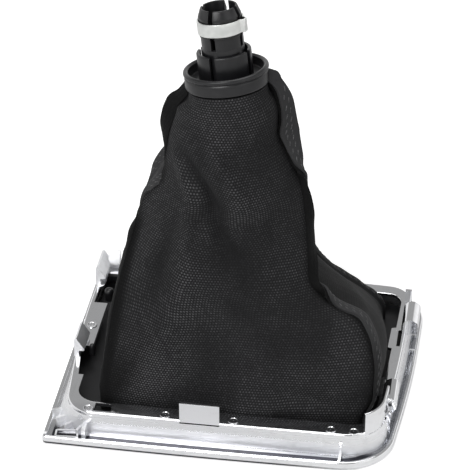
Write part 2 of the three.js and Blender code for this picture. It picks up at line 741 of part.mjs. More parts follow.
function makeCollet() {
  const seat = floorHeight - clearance;
  const clampTop = clampBottom + clampWidth;
  const top = clampTop + headHeight;
  let collet = turned([
    [colletRadius, colletBottom],
    [colletRadius, seat - colletFlangeThickness],
    [colletFlangeRadius, seat - colletFlangeThickness],
    [colletFlangeRadius, seat],
    [colletRadius, seat],
    [colletRadius, clampBottom - clearance - beadWidth],
    [colletRadius + beadRise, clampBottom - clearance - beadWidth],
    [colletRadius + beadRise, clampBottom - clearance],
    [colletRadius, clampBottom - clearance],
    [colletRadius, clampTop + clearance],
    [colletRadius + headRise, clampTop + clearance + 1],
    [headTopRadius, top],
    [colletBore, top],
    [colletBore, colletBottom],
  ]);
  for (const slit of slots(colletSlit, colletRadius + 1, slitBottom, top + 1)) collet = collet.subtract(slit);
  return toGeometry(collet);
}

// A strip bent round the collet, with one crimped ear that stands off it.
function makeClamp() {
  const inner = colletRadius + clearance;
  const steps = 60;
  const outline = (radius) => {
    const points = [];
    for (let k = 0; k < steps; k++) {
      const degrees = earTurn - 180 + (360 * k) / steps;
      const away = Math.abs(degrees - earTurn) / earHalfAngle;
      const rise = earRise * THREE.MathUtils.clamp(1.6 - 1.6 * away, 0, 1);
      const angle = THREE.MathUtils.degToRad(degrees);
      points.push(new THREE.Vector2(Math.cos(angle), Math.sin(angle)).multiplyScalar(radius + rise));
    }
    return points;
  };
  const shape = new THREE.Shape(outline(inner + clampThickness));
  shape.holes.push(new THREE.Path(outline(inner)));
  const geometry = new THREE.ExtrudeGeometry(shape, { depth: clampWidth, bevelEnabled: false });
  geometry.translate(0, 0, clampBottom);
  return toGeometry(toSolid(geometry));
}

addPiece('bezel_frame', makeBezel(), materials.chrome);
addPiece('inner_carrier', makeCarrier(), materials.plastic);
for (const [name, panel] of Object.entries(panels)) addPiece(name, makePanel(panel), materials.fabric);

const collarGroup = new THREE.Group();
collarGroup.position.set(collar.x, collar.y, collar.z);
collarGroup.quaternion.copy(collarTurn);
group.add(collarGroup);
addPiece('collar_ring', makeCollarRing(), materials.plastic, collarGroup);
addPiece('knob_collet', makeCollet(), materials.plastic, collarGroup);
addPiece('band_clamp', makeClamp(), materials.steel, collarGroup);

// The origin is the middle of the bezel's own box.
const bezelBox = new THREE.Box3().setFromObject(group.getObjectByName('bezel_frame'));
const bezelMiddle = bezelBox.getCenter(new THREE.Vector3());
group.position.set(-bezelMiddle.x, -bezelMiddle.y, 0);

export default group;
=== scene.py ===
# Gear lever gaiter, inside out on its plated bezel: the looks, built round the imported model.
import math
import bpy
import numpy as np
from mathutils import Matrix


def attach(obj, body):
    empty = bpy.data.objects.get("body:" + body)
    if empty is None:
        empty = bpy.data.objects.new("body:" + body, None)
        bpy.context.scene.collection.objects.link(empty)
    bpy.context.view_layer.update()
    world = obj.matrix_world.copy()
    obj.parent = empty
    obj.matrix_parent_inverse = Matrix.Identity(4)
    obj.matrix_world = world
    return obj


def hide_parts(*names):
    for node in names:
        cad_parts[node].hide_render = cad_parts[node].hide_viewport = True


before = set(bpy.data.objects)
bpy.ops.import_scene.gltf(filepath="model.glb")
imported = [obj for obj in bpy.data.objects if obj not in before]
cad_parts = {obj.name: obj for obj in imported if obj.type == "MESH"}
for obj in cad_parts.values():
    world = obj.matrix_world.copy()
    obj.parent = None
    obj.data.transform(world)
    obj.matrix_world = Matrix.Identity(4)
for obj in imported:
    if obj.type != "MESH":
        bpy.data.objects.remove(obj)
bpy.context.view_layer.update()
print("frame loaded:", len(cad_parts), "nodes")

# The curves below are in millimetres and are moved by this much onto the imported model.
placing = {"shift": (0.5338, -0.2351, 0.0), "unit": 0.001}


# Eased step: 0 below low, 1 above high, 3t^2 - 2t^3 between.
def ease(low, high, value):
    t = np.clip((value - low) / (high - low), 0.0, 1.0)
    return t * t * (3.0 - 2.0 * t)


def unit(vectors):
    return vectors / np.maximum(np.linalg.norm(vectors, axis=-1, keepdims=True), 1e-9)


# Quads of a grid of rows by columns, either way closed into a ring if asked.
def gridFaces(rows, columns, ringRows=False, ringColumns=False):
    i = np.arange(rows if ringRows else rows - 1)[:, None]
    j = np.arange(columns if ringColumns else columns - 1)[None, :]
    below = (i + 1) % rows
    right = (j + 1) % columns
    quads = [i * columns + j, i * columns + right, below * columns + right, below * columns + j]
    return np.stack(np.broadcast_arrays(*quads), axis=-1).reshape(-1, 4)


# Volume inside a closed shell, a sixth of the sum of the triple products of its fanned faces.
def shellVolume(points, faces):
    total = 0.0
    for face in faces:
        face = np.atleast_2d(face)
        for k in range(1, face.shape[1] - 1):
            a, b, c = points[face[:, 0]], points[face[:, k]], points[face[:, k + 1]]
            total += np.einsum("ij,ij->", a, np.cross(b, c)) / 6.0
    return total


# A part is its points and a list of face arrays, turned so that its faces look outwards.
def closedPart(points, faces):
    points = np.asarray(points, float).reshape(-1, 3)
    faces = [np.atleast_2d(face) for face in faces]
    if shellVolume(points - points.mean(axis=0), faces) < 0.0:
        faces = [face[:, ::-1] for face in faces]
    return points, faces


# Joins parts into one object at the origin, with its place in its mesh.
def makeObject(name, parts, material, uv=None, sharpAbove=38.0, marks=None):
    allPoints = np.vstack([points for points, faces in parts])
    starts = np.cumsum([0] + [len(points) for points, faces in parts[:-1]])
    faceLists = []
    for start, (points, faces) in zip(starts, parts):
        for face in faces:
            faceLists += (face + start).tolist()
    mesh = bpy.data.meshes.new(name)
    allPoints = (allPoints + np.array(placing["shift"])) * placing["unit"]
    mesh.from_pydata(allPoints.tolist(), [], faceLists)
    if uv is not None:
        corners = np.empty(len(mesh.loops), np.int32)
        mesh.loops.foreach_get("vertex_index", corners)
        mesh.uv_layers.new(name="cloth").data.foreach_set("uv", uv[corners].astype(np.float32).ravel())
    for label, values in (marks or {}).items():
        mesh.attributes.new(label, "FLOAT", "POINT").data.foreach_set("value", values.astype(np.float32))
    mesh.update()
    mesh.validate()
    mesh.shade_smooth()
    mesh.set_sharp_from_angle(angle=math.radians(sharpAbove))
    mesh.materials.append(material)
    made = bpy.data.objects.new(name, mesh)
    bpy.context.scene.collection.objects.link(made)
    return made


edges = {"segments": 2, "above": 50}


# An object that rides on the part. Its sharp edges are rounded by the bevel, in millimetres.
def makePiece(name, parts, material, bevel=None, **shape):
    piece = makeObject(name, parts, material, **shape)
    if bevel:
        rounding = piece.modifiers.new("edges", "BEVEL")
        rounding.width = bevel * placing["unit"]
        rounding.segments = edges["segments"]
        rounding.limit_method = "ANGLE"
        rounding.angle_limit = math.radians(edges["above"])
        rounding.harden_normals = False
    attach(piece, "root")
    print("made", name, len(piece.data.polygons), "faces")
    return piece


# Shader maths: a wire is one socket, and an operator on it adds its Math node.
class Wire:
    def __init__(self, shader, socket):
        self.shader, self.socket = shader, socket

    def maths(self, operation, *values):
        return self.shader.add("ShaderNodeMath", {"operation": operation}, dict(enumerate(values)))

    def __add__(self, other): return self.maths("ADD", self, other)
    def __radd__(self, other): return self.maths("ADD", other, self)
    def __sub__(self, other): return self.maths("SUBTRACT", self, other)
    def __rsub__(self, other): return self.maths("SUBTRACT", other, self)
    def __mul__(self, other): return self.maths("MULTIPLY", self, other)
    def __rmul__(self, other): return self.maths("MULTIPLY", other, self)
    def __truediv__(self, other): return self.maths("DIVIDE", self, other)

    def floor(self): return self.maths("FLOOR", self)
    def fract(self): return self.maths("FRACT", self)
    def root(self): return self.maths("SQRT", self)
    def wave(self): return self.maths("SINE", self)

    # 0 at low and 1 at high, held between
    def rise(self, low, high):
        values = {"Value": self, "From Min": low, "From Max": high}
        return self.shader.add("ShaderNodeMapRange", {"interpolation_type": "SMOOTHSTEP"}, values)

    def fall(self, low, high):
        return 1.0 - self.rise(low, high)

    # 1 between two rises, the second one falling
    def band(self, low, high, after, end):
        return self.rise(low, high) * self.fall(after, end)


class Shader:
    def __init__(self, name, tree=None):
        self.material = None
        if tree is None:
            self.material = bpy.data.materials.new(name)
            self.material.use_nodes = True
            tree = self.material.node_tree
        tree.nodes.clear()
        self.tree = tree

    # Any node: its type, its settings, then the values or wires of its sockets.
    def add(self, kind, settings=None, values=None, out=0):
        node = self.tree.nodes.new(kind)
        for key, setting in (settings or {}).items():
            setattr(node, key, setting)
        for key, value in (values or {}).items():
            socket = node.inputs[key]
            if isinstance(value, Wire):
                self.tree.links.new(value.socket, socket)
            elif isinstance(value, tuple) and len(value) == 3 and socket.type == "RGBA":
                socket.default_value = (*value, 1.0)
            else:
                socket.default_value = value
        return Wire(self, node.outputs[out])

    def place(self):
        return self.add("ShaderNodeTexCoord", out="Object")

    def axes(self, vector, names="XYZ"):
        return [self.add("ShaderNodeSeparateXYZ", values={"Vector": vector}, out=axis) for axis in names]

    def mark(self, name):
        return self.add("ShaderNodeAttribute", {"attribute_name": name}, out="Fac")

    def rays(self, *kinds):
        return [self.add("ShaderNodeLightPath", out="Is %s Ray" % kind) for kind in kinds]

    def noise(self, place, scale, detail=2.0, roughness=0.5, stretch=None):
        if stretch:
            place = self.add("ShaderNodeMapping", values={"Vector": place, "Scale": stretch})
        values = {"Vector": place, "Scale": scale, "Detail": detail, "Roughness": roughness}
        return self.add("ShaderNodeTexNoise", values=values)

    def blend(self, share, first, second):
        return self.add("ShaderNodeMix", {"data_type": "RGBA"}, {0: share, 6: first, 7: second}, out=2)

    def bump(self, height, depth, strength=1.0):
        values = {"Height": height, "Distance": depth, "Strength": strength}
        return self.add("ShaderNodeBump", values=values)

    def finish(self, **sockets):
        values = {key.replace("_", " "): value for key, value in sockets.items()}
        return self.output("Material", self.add("ShaderNodeBsdfPrincipled", values=values))

    def output(self, kind, surface):
        node = self.tree.nodes.new("ShaderNodeOutput" + kind)
        self.tree.links.new(surface.socket, node.inputs["Surface"])
        return self.material


# Colours are linear. The backing is a black knit with a grid of raised grey dots. The last two colours,
# "dull" and "shade", are the darks of painted shade.
clothLook = {
    "pitch": 1.18, "rowGap": 0.866, "dotWidth": 0.3, "knit": (0.010, 0.010, 0.0107),
    "worn": (0.017, 0.017, 0.018), "dot": (0.105, 0.105, 0.109), "edge": (0.07, 0.07, 0.072),
    "dull": (0.006, 0.006, 0.0065), "shade": (0.002, 0.002, 0.0021), "relief": 0.00016,
    "roughness": 0.74, "gloss": 0.18, "sheen": 0.03,
}


# The dot grid stands on the cloth's own map, in millimetres: rows a fixed gap apart, every second one
# moved by half a pitch. A dot is where the distance to the middle of its cell is small. The marks say
# where the dots carry a painted highlight for the light they would catch, what is a flap, and where painted
# shade lies.
def clothMaterial(name, dots, grey):
    look = clothLook
    shade = Shader(name)
    place = shade.place()
    across, down = shade.axes(shade.add("ShaderNodeUVMap", {"uv_map": "cloth"}), "XY")
    across, down = across / look["pitch"], down / (look["pitch"] * look["rowGap"])
    row = down.floor()
    column = across + (row * 0.5).fract()
    aside = column.fract() - 0.5
    along = (down.fract() - 0.5) * look["rowGap"]
    away = (aside * aside * 0.8 + along * along * 1.25).root()
    dot = away.fall(look["dotWidth"] * 0.5, look["dotWidth"] * 1.25)
    cell = shade.add("ShaderNodeCombineXYZ", values={0: column.floor(), 1: row})
    each = shade.add("ShaderNodeTexWhiteNoise", {"noise_dimensions": "2D"}, {"Vector": cell})
    speck = shade.noise(place, 900.0, 3.0)
    patch = shade.noise(place, 38.0, 3.0)
    dotHighlight, flap, paintedShade = (shade.mark(label) for label in ("dots", "flap", "paintedShade"))
    # Painted highlight: the dots made paler where they would catch the light.
    lit = dot * dotHighlight * (0.35 + 1.1 * patch.rise(0.35, 0.68)) * dots * (0.6 + 0.8 * speck) * (0.45 + each)
    rib = ((across * (2.0 * math.pi)).wave() * 0.5 + 0.5) * 0.35 * (1.0 - flap)
    knit = shade.blend(patch.rise(0.3, 0.75), look["knit"], look["worn"])
    knit = shade.blend(speck.rise(0.45, 0.8) * 0.35 + rib * 0.25, knit, tuple(c * 1.9 for c in look["worn"]))
    colour = shade.blend(flap * 0.55, knit, look["edge"])
    colour = shade.blend(lit * (1.0 - flap * 0.75), colour, look["dot"])
    # Painted shade: the side panels' cloth, not their flaps, darkened towards the dull black.
    colour = shade.blend((1.0 - flap) * (1.0 - grey), colour, look["dull"])
    # Painted shade: towards black wherever the cloth is marked for shade.
    colour = shade.blend(paintedShade * 0.85, colour, look["shade"])
    height = dot * (0.35 + 0.65 * dotHighlight) * (1.0 - flap * 0.5) + speck * 0.5 + rib * 0.3
    return shade.finish(Base_Color=colour, Roughness=look["roughness"] + 0.16 * speck,
                        Normal=shade.bump(height, look["relief"], 0.8),
                        Specular_IOR_Level=look["gloss"], Sheen_Weight=look["sheen"], Sheen_Roughness=0.4)


threadLook = {"dark": (0.016, 0.016, 0.017), "pale": (0.12, 0.12, 0.124), "roughness": 0.42,
              "relief": 0.00008}


def threadMaterial():
    look = threadLook
    shade = Shader("thread")
    place = shade.place()
    twist = shade.noise(place, 2600.0, 2.0)
    colour = shade.blend(twist.rise(0.3, 0.7), look["dark"], look["pale"])
    return shade.finish(Base_Color=colour, Roughness=look["roughness"] + 0.2 * twist,
                        Normal=shade.bump(twist, look["relief"], 0.7))


plasticLooks = {
    "collarPlastic": {"colour": (0.009, 0.009, 0.0102), "roughness": 0.27, "relief": 0.00004},
    "carrierPlastic": {"colour": (0.008, 0.008, 0.009), "roughness": 0.6, "relief": 0.00004},
}


# Moulded plastic: fine grain in its gloss, a slight mottle in its black.
def plasticMaterial(name):
    look = plasticLooks[name]
    shade = Shader(name)
    place = shade.place()
    mottle = shade.noise(place, 220.0, 4.0)
    fine = shade.noise(place, 2400.0, 2.0)
    paler = tuple(min(c * 1.7 + 0.004, 1.0) for c in look["colour"])
    tone = shade.blend(mottle.rise(0.35, 0.75) * 0.6 + fine * 0.2, look["colour"], paler)
    rough = look["roughness"] + 0.14 * (mottle - 0.5) + 0.08 * fine
    return shade.finish(Base_Color=tone, Roughness=rough, Specular_IOR_Level=0.5,
                        Normal=shade.bump(fine * 0.6 + mottle, look["relief"], 0.6))


# Besides the plating's own colour: the grey of the groove's painted shade, the grey of the front wall's
# painted darker reflection, and the darks of the painted shadows in the groove and at the front edge's foot.
platingLook = {
    "colour": (0.93, 0.935, 0.95), "roughness": 0.06, "waves": 0.0001, "thin": (0.27, 0.28, 0.31),
    "wall": (0.74, 0.74, 0.77), "grooveShadow": (0.03, 0.03, 0.04), "foot": (0.02, 0.021, 0.03),
}


# Plated plastic: near mirror, with the long soft waves of the moulding under it. The floor of the groove
# between rim and wall is painted greyer as shade, with a painted shadow line along its middle at the front.
# The front wall is painted a little greyer too, a painted darker reflection, and the very foot of the front
# edge carries a painted shadow where it meets the floor. The mark "inset" is the distance in from the rim's
# outline in millimetres, and "satin" tells the hooks and the ribs at the front left corner, whose faces have
# the duller skin of a slide in the mould.
def platingMaterial():
    look = platingLook
    shade = Shader("plating")
    place = shade.place()
    wave = shade.noise(place, 40.0, 1.0)
    haze = shade.noise(place, 260.0, 4.0)
    fine = shade.noise(place, 1500.0, 3.0)
    streak = shade.noise(place, 500.0, 2.0, stretch=(1.0, 0.12, 1.0))
    x, y, z = shade.axes(place)
    inset, satin = (shade.mark(label) for label in ("inset", "satin"))
    # Painted shade on the groove's floor, stronger towards the right and at the front left corner.
    floor = z.band(0.0019, 0.00205, 0.0024, 0.0028) * inset.rise(1.2, 1.45)
    # Painted shadow: a dark line along the middle of the groove's floor at the front.
    grooveShadow = floor * inset.band(3.2, 3.5, 5.3, 5.7) * y.fall(-0.053, -0.049)
    # Painted darker reflection: the front wall a little greyer, fading out to the right.
    wall = z.rise(0.0018, 0.002) * y.fall(-0.05, -0.046) * inset.rise(5.2, 5.5) * x.fall(-0.01, 0.05)
    corner = x.fall(-0.062, -0.056) * y.fall(-0.052, -0.046)
    groove = floor * (x.rise(0.0, 0.035) + 0.5 * corner) * (0.72 + 0.4 * wave)
    # Painted shadow: the very foot of the front edge dark, where it stands on the floor.
    foot = z.fall(0.0013, 0.0018) * y.fall(-0.0575, -0.055) * x.fall(0.02, 0.06)
    low = z.band(0.0023, 0.0027, 0.006, 0.009) * inset.rise(3.0, 4.0)
    hazed = tuple(c * 0.84 for c in look["colour"])
    tone = shade.blend(haze.rise(0.5, 0.8) * 0.45 + streak.rise(0.5, 0.8) * 0.3, look["colour"], hazed)
    # The painted shade, the painted darker reflection and the painted shadows, laid over the plating's tone.
    tone = shade.blend(groove * 0.85, tone, look["thin"])
    tone = shade.blend(wall * 0.45, tone, look["wall"])
    tone = shade.blend(grooveShadow * 0.95, tone, look["grooveShadow"])
    tone = shade.blend(foot * 0.95, tone, look["foot"])
    rough = look["roughness"] + 0.08 * haze.rise(0.45, 0.75) + 0.05 * fine + 0.16 * groove + 0.5 * satin
    return shade.finish(Base_Color=tone, Metallic=1.0, Roughness=rough + 0.3 * low,
                        Normal=shade.bump(wave + fine * 0.006 + streak * 0.004, look["waves"], 0.5))


steelLook = {"pale": (0.93, 0.94, 0.92), "dull": (0.74, 0.76, 0.74), "roughness": 0.2, "relief": 0.00003}


# Cold rolled strip: its grain runs round the band.
def steelMaterial():
    look = steelLook
    shade = Shader("clampSteel")
    place = shade.place()
    grain = shade.noise(place, 900.0, 3.0, stretch=(0.25, 0.25, 2.4))
    patch = shade.noise(place, 160.0, 2.0)
    tone = shade.blend(patch.rise(0.4, 0.7), look["pale"], look["dull"])
    rough = look["roughness"] + 0.16 * grain + 0.1 * patch
    return shade.finish(Base_Color=tone, Metallic=1.0, Roughness=rough,
                        Normal=shade.bump(grain, look["relief"], 0.6))


plating = platingMaterial()
blackPlastic = plasticMaterial("collarPlastic")
carrierPlastic = plasticMaterial("carrierPlastic")
steel = steelMaterial()
thread = threadMaterial()
print("materials made")

# Outlines of the bezel and of the gaiter's foot seen from above, four corners each (x, y, radius, bow of
# the side that follows), from the front left counterclockwise.
outlines = {
    "flange": [(-71.2, -60.3, 1.6, 0.6), (64.6, -60.6, 21, 1.2), (71.3, 60.5, 20, 1.0), (-71.2, 60.5, 6, 0)],
    "wall": [(-69, -53.7, 18, 0), (62.6, -53.7, 16, 1.2), (67.8, 53.2, 11, 1.8), (-69, 53.2, 9, 0)],
    "wallTop": [(-63.8, -52.8, 13, 0), (60.8, -52.8, 15, 0.8), (65.3, 52.2, 10, 1.8), (-68.1, 52.2, 9, 1.6)],
    "opening": [(-60.4, -45.4, 8, 0), (56.4, -45.4, 8, 0.6), (61.2, 46, 6, 1.4), (-60.4, 46, 6, 0)],
    "foot": [(-50, -39.5, 2, 3.6), (51.5, -38.5, 2, 2), (53, 38, 2, 3), (-50, 38, 2, 3)],
}
bezel = {
    "cornerSteps": 16, "sideSteps": 56, "roundSteps": 4, "bevel": 0.22,
    "lowRim": {"drop": 1.1, "starts": (-58.5, -56.5), "ends": (19, 21), "leftOf": -69.2, "above": 2.7,
               "fade": 1.2},
    # outline, inset, height, rounding
    "section": [
        ("flange", 0.9, 0, 0.3), ("flange", 0, 0.9, 0.5), ("flange", 0, 3.4, 0.4), ("flange", 0.5, 3.9, 0.3),
        ("flange", 1.3, 3.9, 0.3), ("flange", 1.5, 2.2, 0.4), ("wall", 0, 2.2, 0.6),
        ("wallTop", -0.16, 9.6, 0.15), ("wallTop", 0, 9.8, 0.15), ("wallTop", 0, 11.3, 0.3),
        ("wallTop", 0.5, 11.8, 0.3), ("opening", 0, 11.8, 0.35), ("opening", 0, 10.4, 0.3),
        ("wallTop", 1.7, 10.4, 0.3),
        ("wall", 1.7, 2.2, 0.3), ("wall", 4.7, 2.2, 0.3), ("wall", 4.7, 0, 0.3),
    ],
}


# Walks an outline counterclockwise: each corner moved inwards by the inset, an arc at it, then the side
# swollen by bow times the sine of half a turn.
def outlineWalk(name, inset, cornerSteps, sideSteps):
    corners = np.array(outlines[name], float)
    spots = corners[:, :2]
    along = unit(np.roll(spots, -1, axis=0) - spots)
    inwards = np.stack([-along[:, 1], along[:, 0]], axis=1)
    before = np.roll(inwards, 1, axis=0)
    share = inset / (1.0 + np.sum(before * inwards, axis=1))
    spots = spots + (before + inwards) * share[:, None]
    radii = np.maximum(corners[:, 2] - inset, 0.6)
    back = -np.roll(along, 1, axis=0)
    half = np.arccos(np.clip(np.sum(back * along, axis=1), -1, 1)) / 2
    centres = spots + unit(back + along) * (radii / np.sin(half))[:, None]
    start = np.arctan2(-back[:, 0], back[:, 1]) + math.pi
    turn = start[:, None] + (math.pi - 2 * half)[:, None] * np.linspace(0, 1, cornerSteps + 1)[None, :]
    arcs = centres[:, None, :] + radii[:, None, None] * np.stack([np.cos(turn), np.sin(turn)], axis=-1)
    ends, starts = arcs[:, -1], np.roll(arcs[:, 0], -1, axis=0)
    t = (np.arange(1, sideSteps) / sideSteps)[None, :, None]
    swell = corners[:, 3][:, None, None] * np.sin(math.pi * t) * -inwards[:, None, :]
    sides = ends[:, None, :] + (starts - ends)[:, None, :] * t + swell
    return np.concatenate([arcs, sides], axis=1).reshape(-1, 2)


# Rounds the corners of closed loops of points: each corner becomes the curve (1-t)^2 a + 2t(1-t) p + t^2 b
# between points a and b that lie one rounding away from it along its two edges.
def roundedLoop(points, rounding, steps):
    points = np.asarray(points, float)
    before, after = np.roll(points, 1, axis=0) - points, np.roll(points, -1, axis=0) - points
    reach = np.asarray(rounding, float).reshape((-1,) + (1,) * (points.ndim - 1))
    away = [np.minimum(reach, 0.45 * np.linalg.norm(edge, axis=-1, keepdims=True)) * unit(edge)
            for edge in (before, after)]
    t = np.linspace(0, 1, steps).reshape((1, -1) + (1,) * (points.ndim - 1))
    a, b = points + away[0], points + away[1]
    curve = (1 - t) ** 2 * a[:, None] + 2 * t * (1 - t) * points[:, None] + t ** 2 * b[:, None]
    return curve.reshape((-1,) + points.shape[1:])


# The bezel's section, each corner of it walked round its outline. The rim stands lower along most of the
# left side, eased in and out along the side and up from the groove.
def sweptFrame():
    section, rim = bezel["section"], bezel["lowRim"]
    steps = bezel["cornerSteps"], bezel["sideSteps"]
    loops = np.stack([np.insert(outlineWalk(name, inset, *steps), 2, z, axis=1)
                      for name, inset, z, rounding in section])
    loops = roundedLoop(loops, [row[3] for row in section], bezel["roundSteps"])
    x, y, z = loops[..., 0], loops[..., 1], loops[..., 2]
    low = ease(*rim["starts"], y) * (1 - ease(*rim["ends"], y)) * (x < rim["leftOf"])
    loops[..., 2] = z - rim["drop"] * low * np.clip((z - rim["above"]) / rim["fade"], 0, 1)
    return closedPart(loops, [gridFaces(*loops.shape[:2], True, True)])


# A prism between two loops of points, closed by a face at each end.
def prism(loops):
    loops = np.asarray(loops, float)
    loop = np.arange(loops.shape[1])
    return closedPart(loops, [gridFaces(2, len(loop), False, True), loop[::-1], loop + len(loop)])


# A flat plate from its corners, between two heights.
def slab(corners, low, high):
    return prism([np.insert(np.asarray(corners, float), 2, z, axis=1) for z in (low, high)])


def blockPart(x0, x1, y0, y1, low, high):
    return slab([(x0, y0), (x1, y0), (x1, y1), (x0, y1)], low, high)


def ribPart(x0, y0, x1, y1, thickness, low, high):
    side = unit(np.array([y0 - y1, x1 - x0])) * thickness / 2
    ends = np.array([(x0, y0), (x1, y1)])
    return slab([ends[0] - side, ends[1] - side, ends[1] + side, ends[0] + side], low, high)


# A side profile of (across, height) points with rounded corners, carried over a width.
def profilePart(profile, width, x, y, turn, rounding=0.5):
    loop = roundedLoop(profile, [rounding] * len(profile), 4)
    angle = math.radians(turn)
    way, side = np.array([math.cos(angle), math.sin(angle)]), np.array([-math.sin(angle), math.cos(angle)])
    return prism([np.insert(np.array([x, y]) + loop[:, :1] * way + side * width * step, 2, loop[:, 1], axis=1)
                  for step in (-0.5, 0.5)])


# A closed profile of (radius, height) turned about a vertical axis; between two angles it gets flat ends,
# each half a gap away from the plane of its slot.
def turnedPart(profile, steps, rounding=0.3, span=None, gap=0.0):
    loop = roundedLoop(profile, [rounding] * len(profile), 4)
    radius, height = loop[:, :1], loop[:, 1:]
    if span is None:
        turn = np.linspace(0, 2 * math.pi, steps, endpoint=False)[None, :] + 0 * radius
    else:
        ends = np.radians(span)
        hold = np.arcsin(np.clip(gap / 2 / np.maximum(radius, 0.1), -0.9, 0.9))
        turn = ends[0] + hold + (ends[1] - ends[0] - 2 * hold) * np.linspace(0, 1, steps)[None, :]
    points = np.stack([radius * np.cos(turn), radius * np.sin(turn), height + 0 * turn], axis=-1)
    faces = [gridFaces(len(loop), steps, True, span is None)]
    if span is not None:
        rows = np.arange(len(loop)) * steps
        faces += [rows, rows[::-1] + steps - 1]
    return closedPart(points, faces)


pins = {
    "profile": [(0.02, 11.4), (2.1, 11.4), (2.1, 12.15), (1.55, 12.15), (1.4, 11.95), (0.02, 11.95)],
    "places": [(-54.2, -50), (-23.7, -50), (3.2, -50), (41.3, -50), (50.2, -50), (-63.8, 5.6)],
}
hooks = {
    "inward": [(0, 10.2), (0.2, 18.4), (1.1, 19.2), (4.3, 14.2), (4.3, 13.3), (2, 13.3), (1.8, 10.2)],
    "outward": [(0, 10.2), (0, 14.5), (1.5, 16.6), (4.2, 17.2), (6.6, 15.7), (7, 13.6), (6.5, 11.2),
                (3.4, 10.4), (1.8, 9.2)],
    "round": [(0, 10.2), (0, 14), (1.4, 16.2), (3.2, 17), (5.2, 16.4), (6.3, 14.6), (6, 12.2), (4.2, 9.6),
              (2, 9.2)],
    # profile, width, x, y, turn
    "places": [("inward", 12, -67.2, -9, 0), ("inward", 14, -68.6, 44.2, 0),
               ("inward", 4.8, -62.8, 52.4, -90), ("outward", 14, 62.6, 27, 0),
               ("round", 13.4, 59.2, -27, 0)],
}
windows = {
    "cut": (9.6, 12.8),
    "corners": [
        [(-65.2, -9), (-62.6, -28.5), (-58, -28.5), (-58, -9)],
        [(-66.2, 22), (-58, 22), (-58, 44), (-64.4, 44), (-64.4, 35), (-66.2, 33)],
        [(-52, -51.2), (-45.2, -51.2), (-45.2, -46.3), (-52, -46.3)],
        [(59.1, 8.8), (63, 8.8), (63.2, 20), (59.5, 20)],
        [(57.8, -24.3), (61.2, -24.3), (61.5, -14.6), (58.2, -14.6)],
    ],
}
lobes = {
    "between": (10.45, 11.75),
    "corners": [
        [(58.2, 7.6), (61.5, 6.6), (61.5, 22.2), (58.6, 21.2)],
        [(56.9, -25.5), (59.5, -26.5), (59.5, -12.5), (57.3, -13.5)],
    ],
}
# The locating tab and a small fin at the rear: from and to across, from and to back, two heights
blocks = {"tab": (-17.65, -1.95, -52.8, -51.5, 10.4, 20.1), "fin": (62.3, 65, 43.4, 44.6, 10.4, 15.8)}
fans = {"middle": (-51, -35.7), "turns": (202, 218, 234, 250), "from": 17, "to": 21, "rib": (1, 2, 4.6)}
# Ribs from one place to another, their thickness and two heights: the pocket, the long ones, the low ones
ribs = [
    (-66.2, -58, -57.6, -57.4, 0.7, 2, 3), (-57.6, -57.4, -58.2, -53.2, 0.7, 2, 3),
    (-66.4, -54, -58.2, -53.2, 0.7, 2, 3), (-66.2, -58, -66.4, -54, 0.7, 2, 3),
    (-55, -58, -55, -52.6, 1.6, 2, 6.8), (45.6, -54.6, 45.6, -53.2, 1, 2, 8.4),
    (63.3, -36.8, 61.8, -36.8, 1.4, 2, 12.8),
    (65, 29.2, 69.4, 29.2, 1, 2, 3.7), (64.8, 18.5, 69, 18.5, 1, 2, 3.7), (45.6, -59.6, 45.6, -53, 1, 2, 3.7),
]
raisedWall = {
    "rightOf": 54.4, "inFrontOf": -30, "thick": 1.3, "steps": (24, 160),
    # share of the thickness, height
    "section": [(0, 10.4), (0, 20.8), (1, 20.8), (1, 10.4)], "rounding": [0.1, 0.5, 0.5, 0.1],
}


# The raised corner wall: the stretch of the wall's top outline round the front right corner, between its
# outside and its inside, carried from the ledge up.
def cornerWall():
    look = raisedWall
    outer, inner = (outlineWalk("wallTop", inset, *look["steps"]) for inset in (0, look["thick"]))
    kept = np.nonzero((outer[:, 0] > look["rightOf"]) & (outer[:, 1] < look["inFrontOf"]))[0]
    outer, inner = outer[kept], inner[kept]
    section = roundedLoop(look["section"], look["rounding"], 4)
    share, height = section[:, :1, None], section[:, 1:, None]
    spots = outer[None] + (inner - outer)[None] * share
    points = np.concatenate([spots, height + 0 * spots[..., :1]], axis=-1)
    rows = np.arange(len(section)) * len(kept)
    faces = [gridFaces(len(section), len(kept), True, False), rows, rows[::-1] + len(kept) - 1]
    return closedPart(points, faces)


def bezelFeatures():
    parts = [blockPart(*blocks["tab"]), cornerWall(), blockPart(*blocks["fin"])]
    disc, faces = turnedPart(pins["profile"], 40, rounding=0.12)
    parts += [(disc + np.array([x, y, 0.0]), faces) for x, y in pins["places"]]
    parts += [profilePart(hooks[kind], *place) for kind, *place in hooks["places"]]
    for turn in np.radians(fans["turns"]):
        way = np.array([np.cos(turn), np.sin(turn)])
        ends = [np.array(fans["middle"]) + way * fans[end] for end in ("from", "to")]
        parts.append(ribPart(*ends[0], *ends[1], *fans["rib"]))
    return parts + [ribPart(*rib) for rib in ribs]


# Cuts the windows through the ledge of the swept frame and gives back its points and faces.
def cutWindows(part):
    body = makeObject("bezelBlank", [part], plating)
    blades = [slab(corners, *windows["cut"]) for corners in windows["corners"]]
    blades = makeObject("bezelBlades", blades, plating)
    cut = body.modifiers.new("windows", "BOOLEAN")
    cut.object, cut.operation, cut.solver = blades, "DIFFERENCE", "EXACT"
    done = body.evaluated_get(bpy.context.evaluated_depsgraph_get()).to_mesh()
    points = np.empty(len(done.vertices) * 3)
    done.vertices.foreach_get("co", points)
    points = points.reshape(-1, 3) / placing["unit"] - np.array(placing["shift"])
    faces = [np.array(face.vertices) for face in done.polygons]
    for blank in (body, blades):
        bpy.data.objects.remove(blank)
    return points, [np.atleast_2d(face) for face in faces]


duller = {"hooks": {"above": 13, "leftOf": -55, "satin": 1.0},
          "ribs": {"below": 7, "leftOf": -50, "satin": 0.5}}


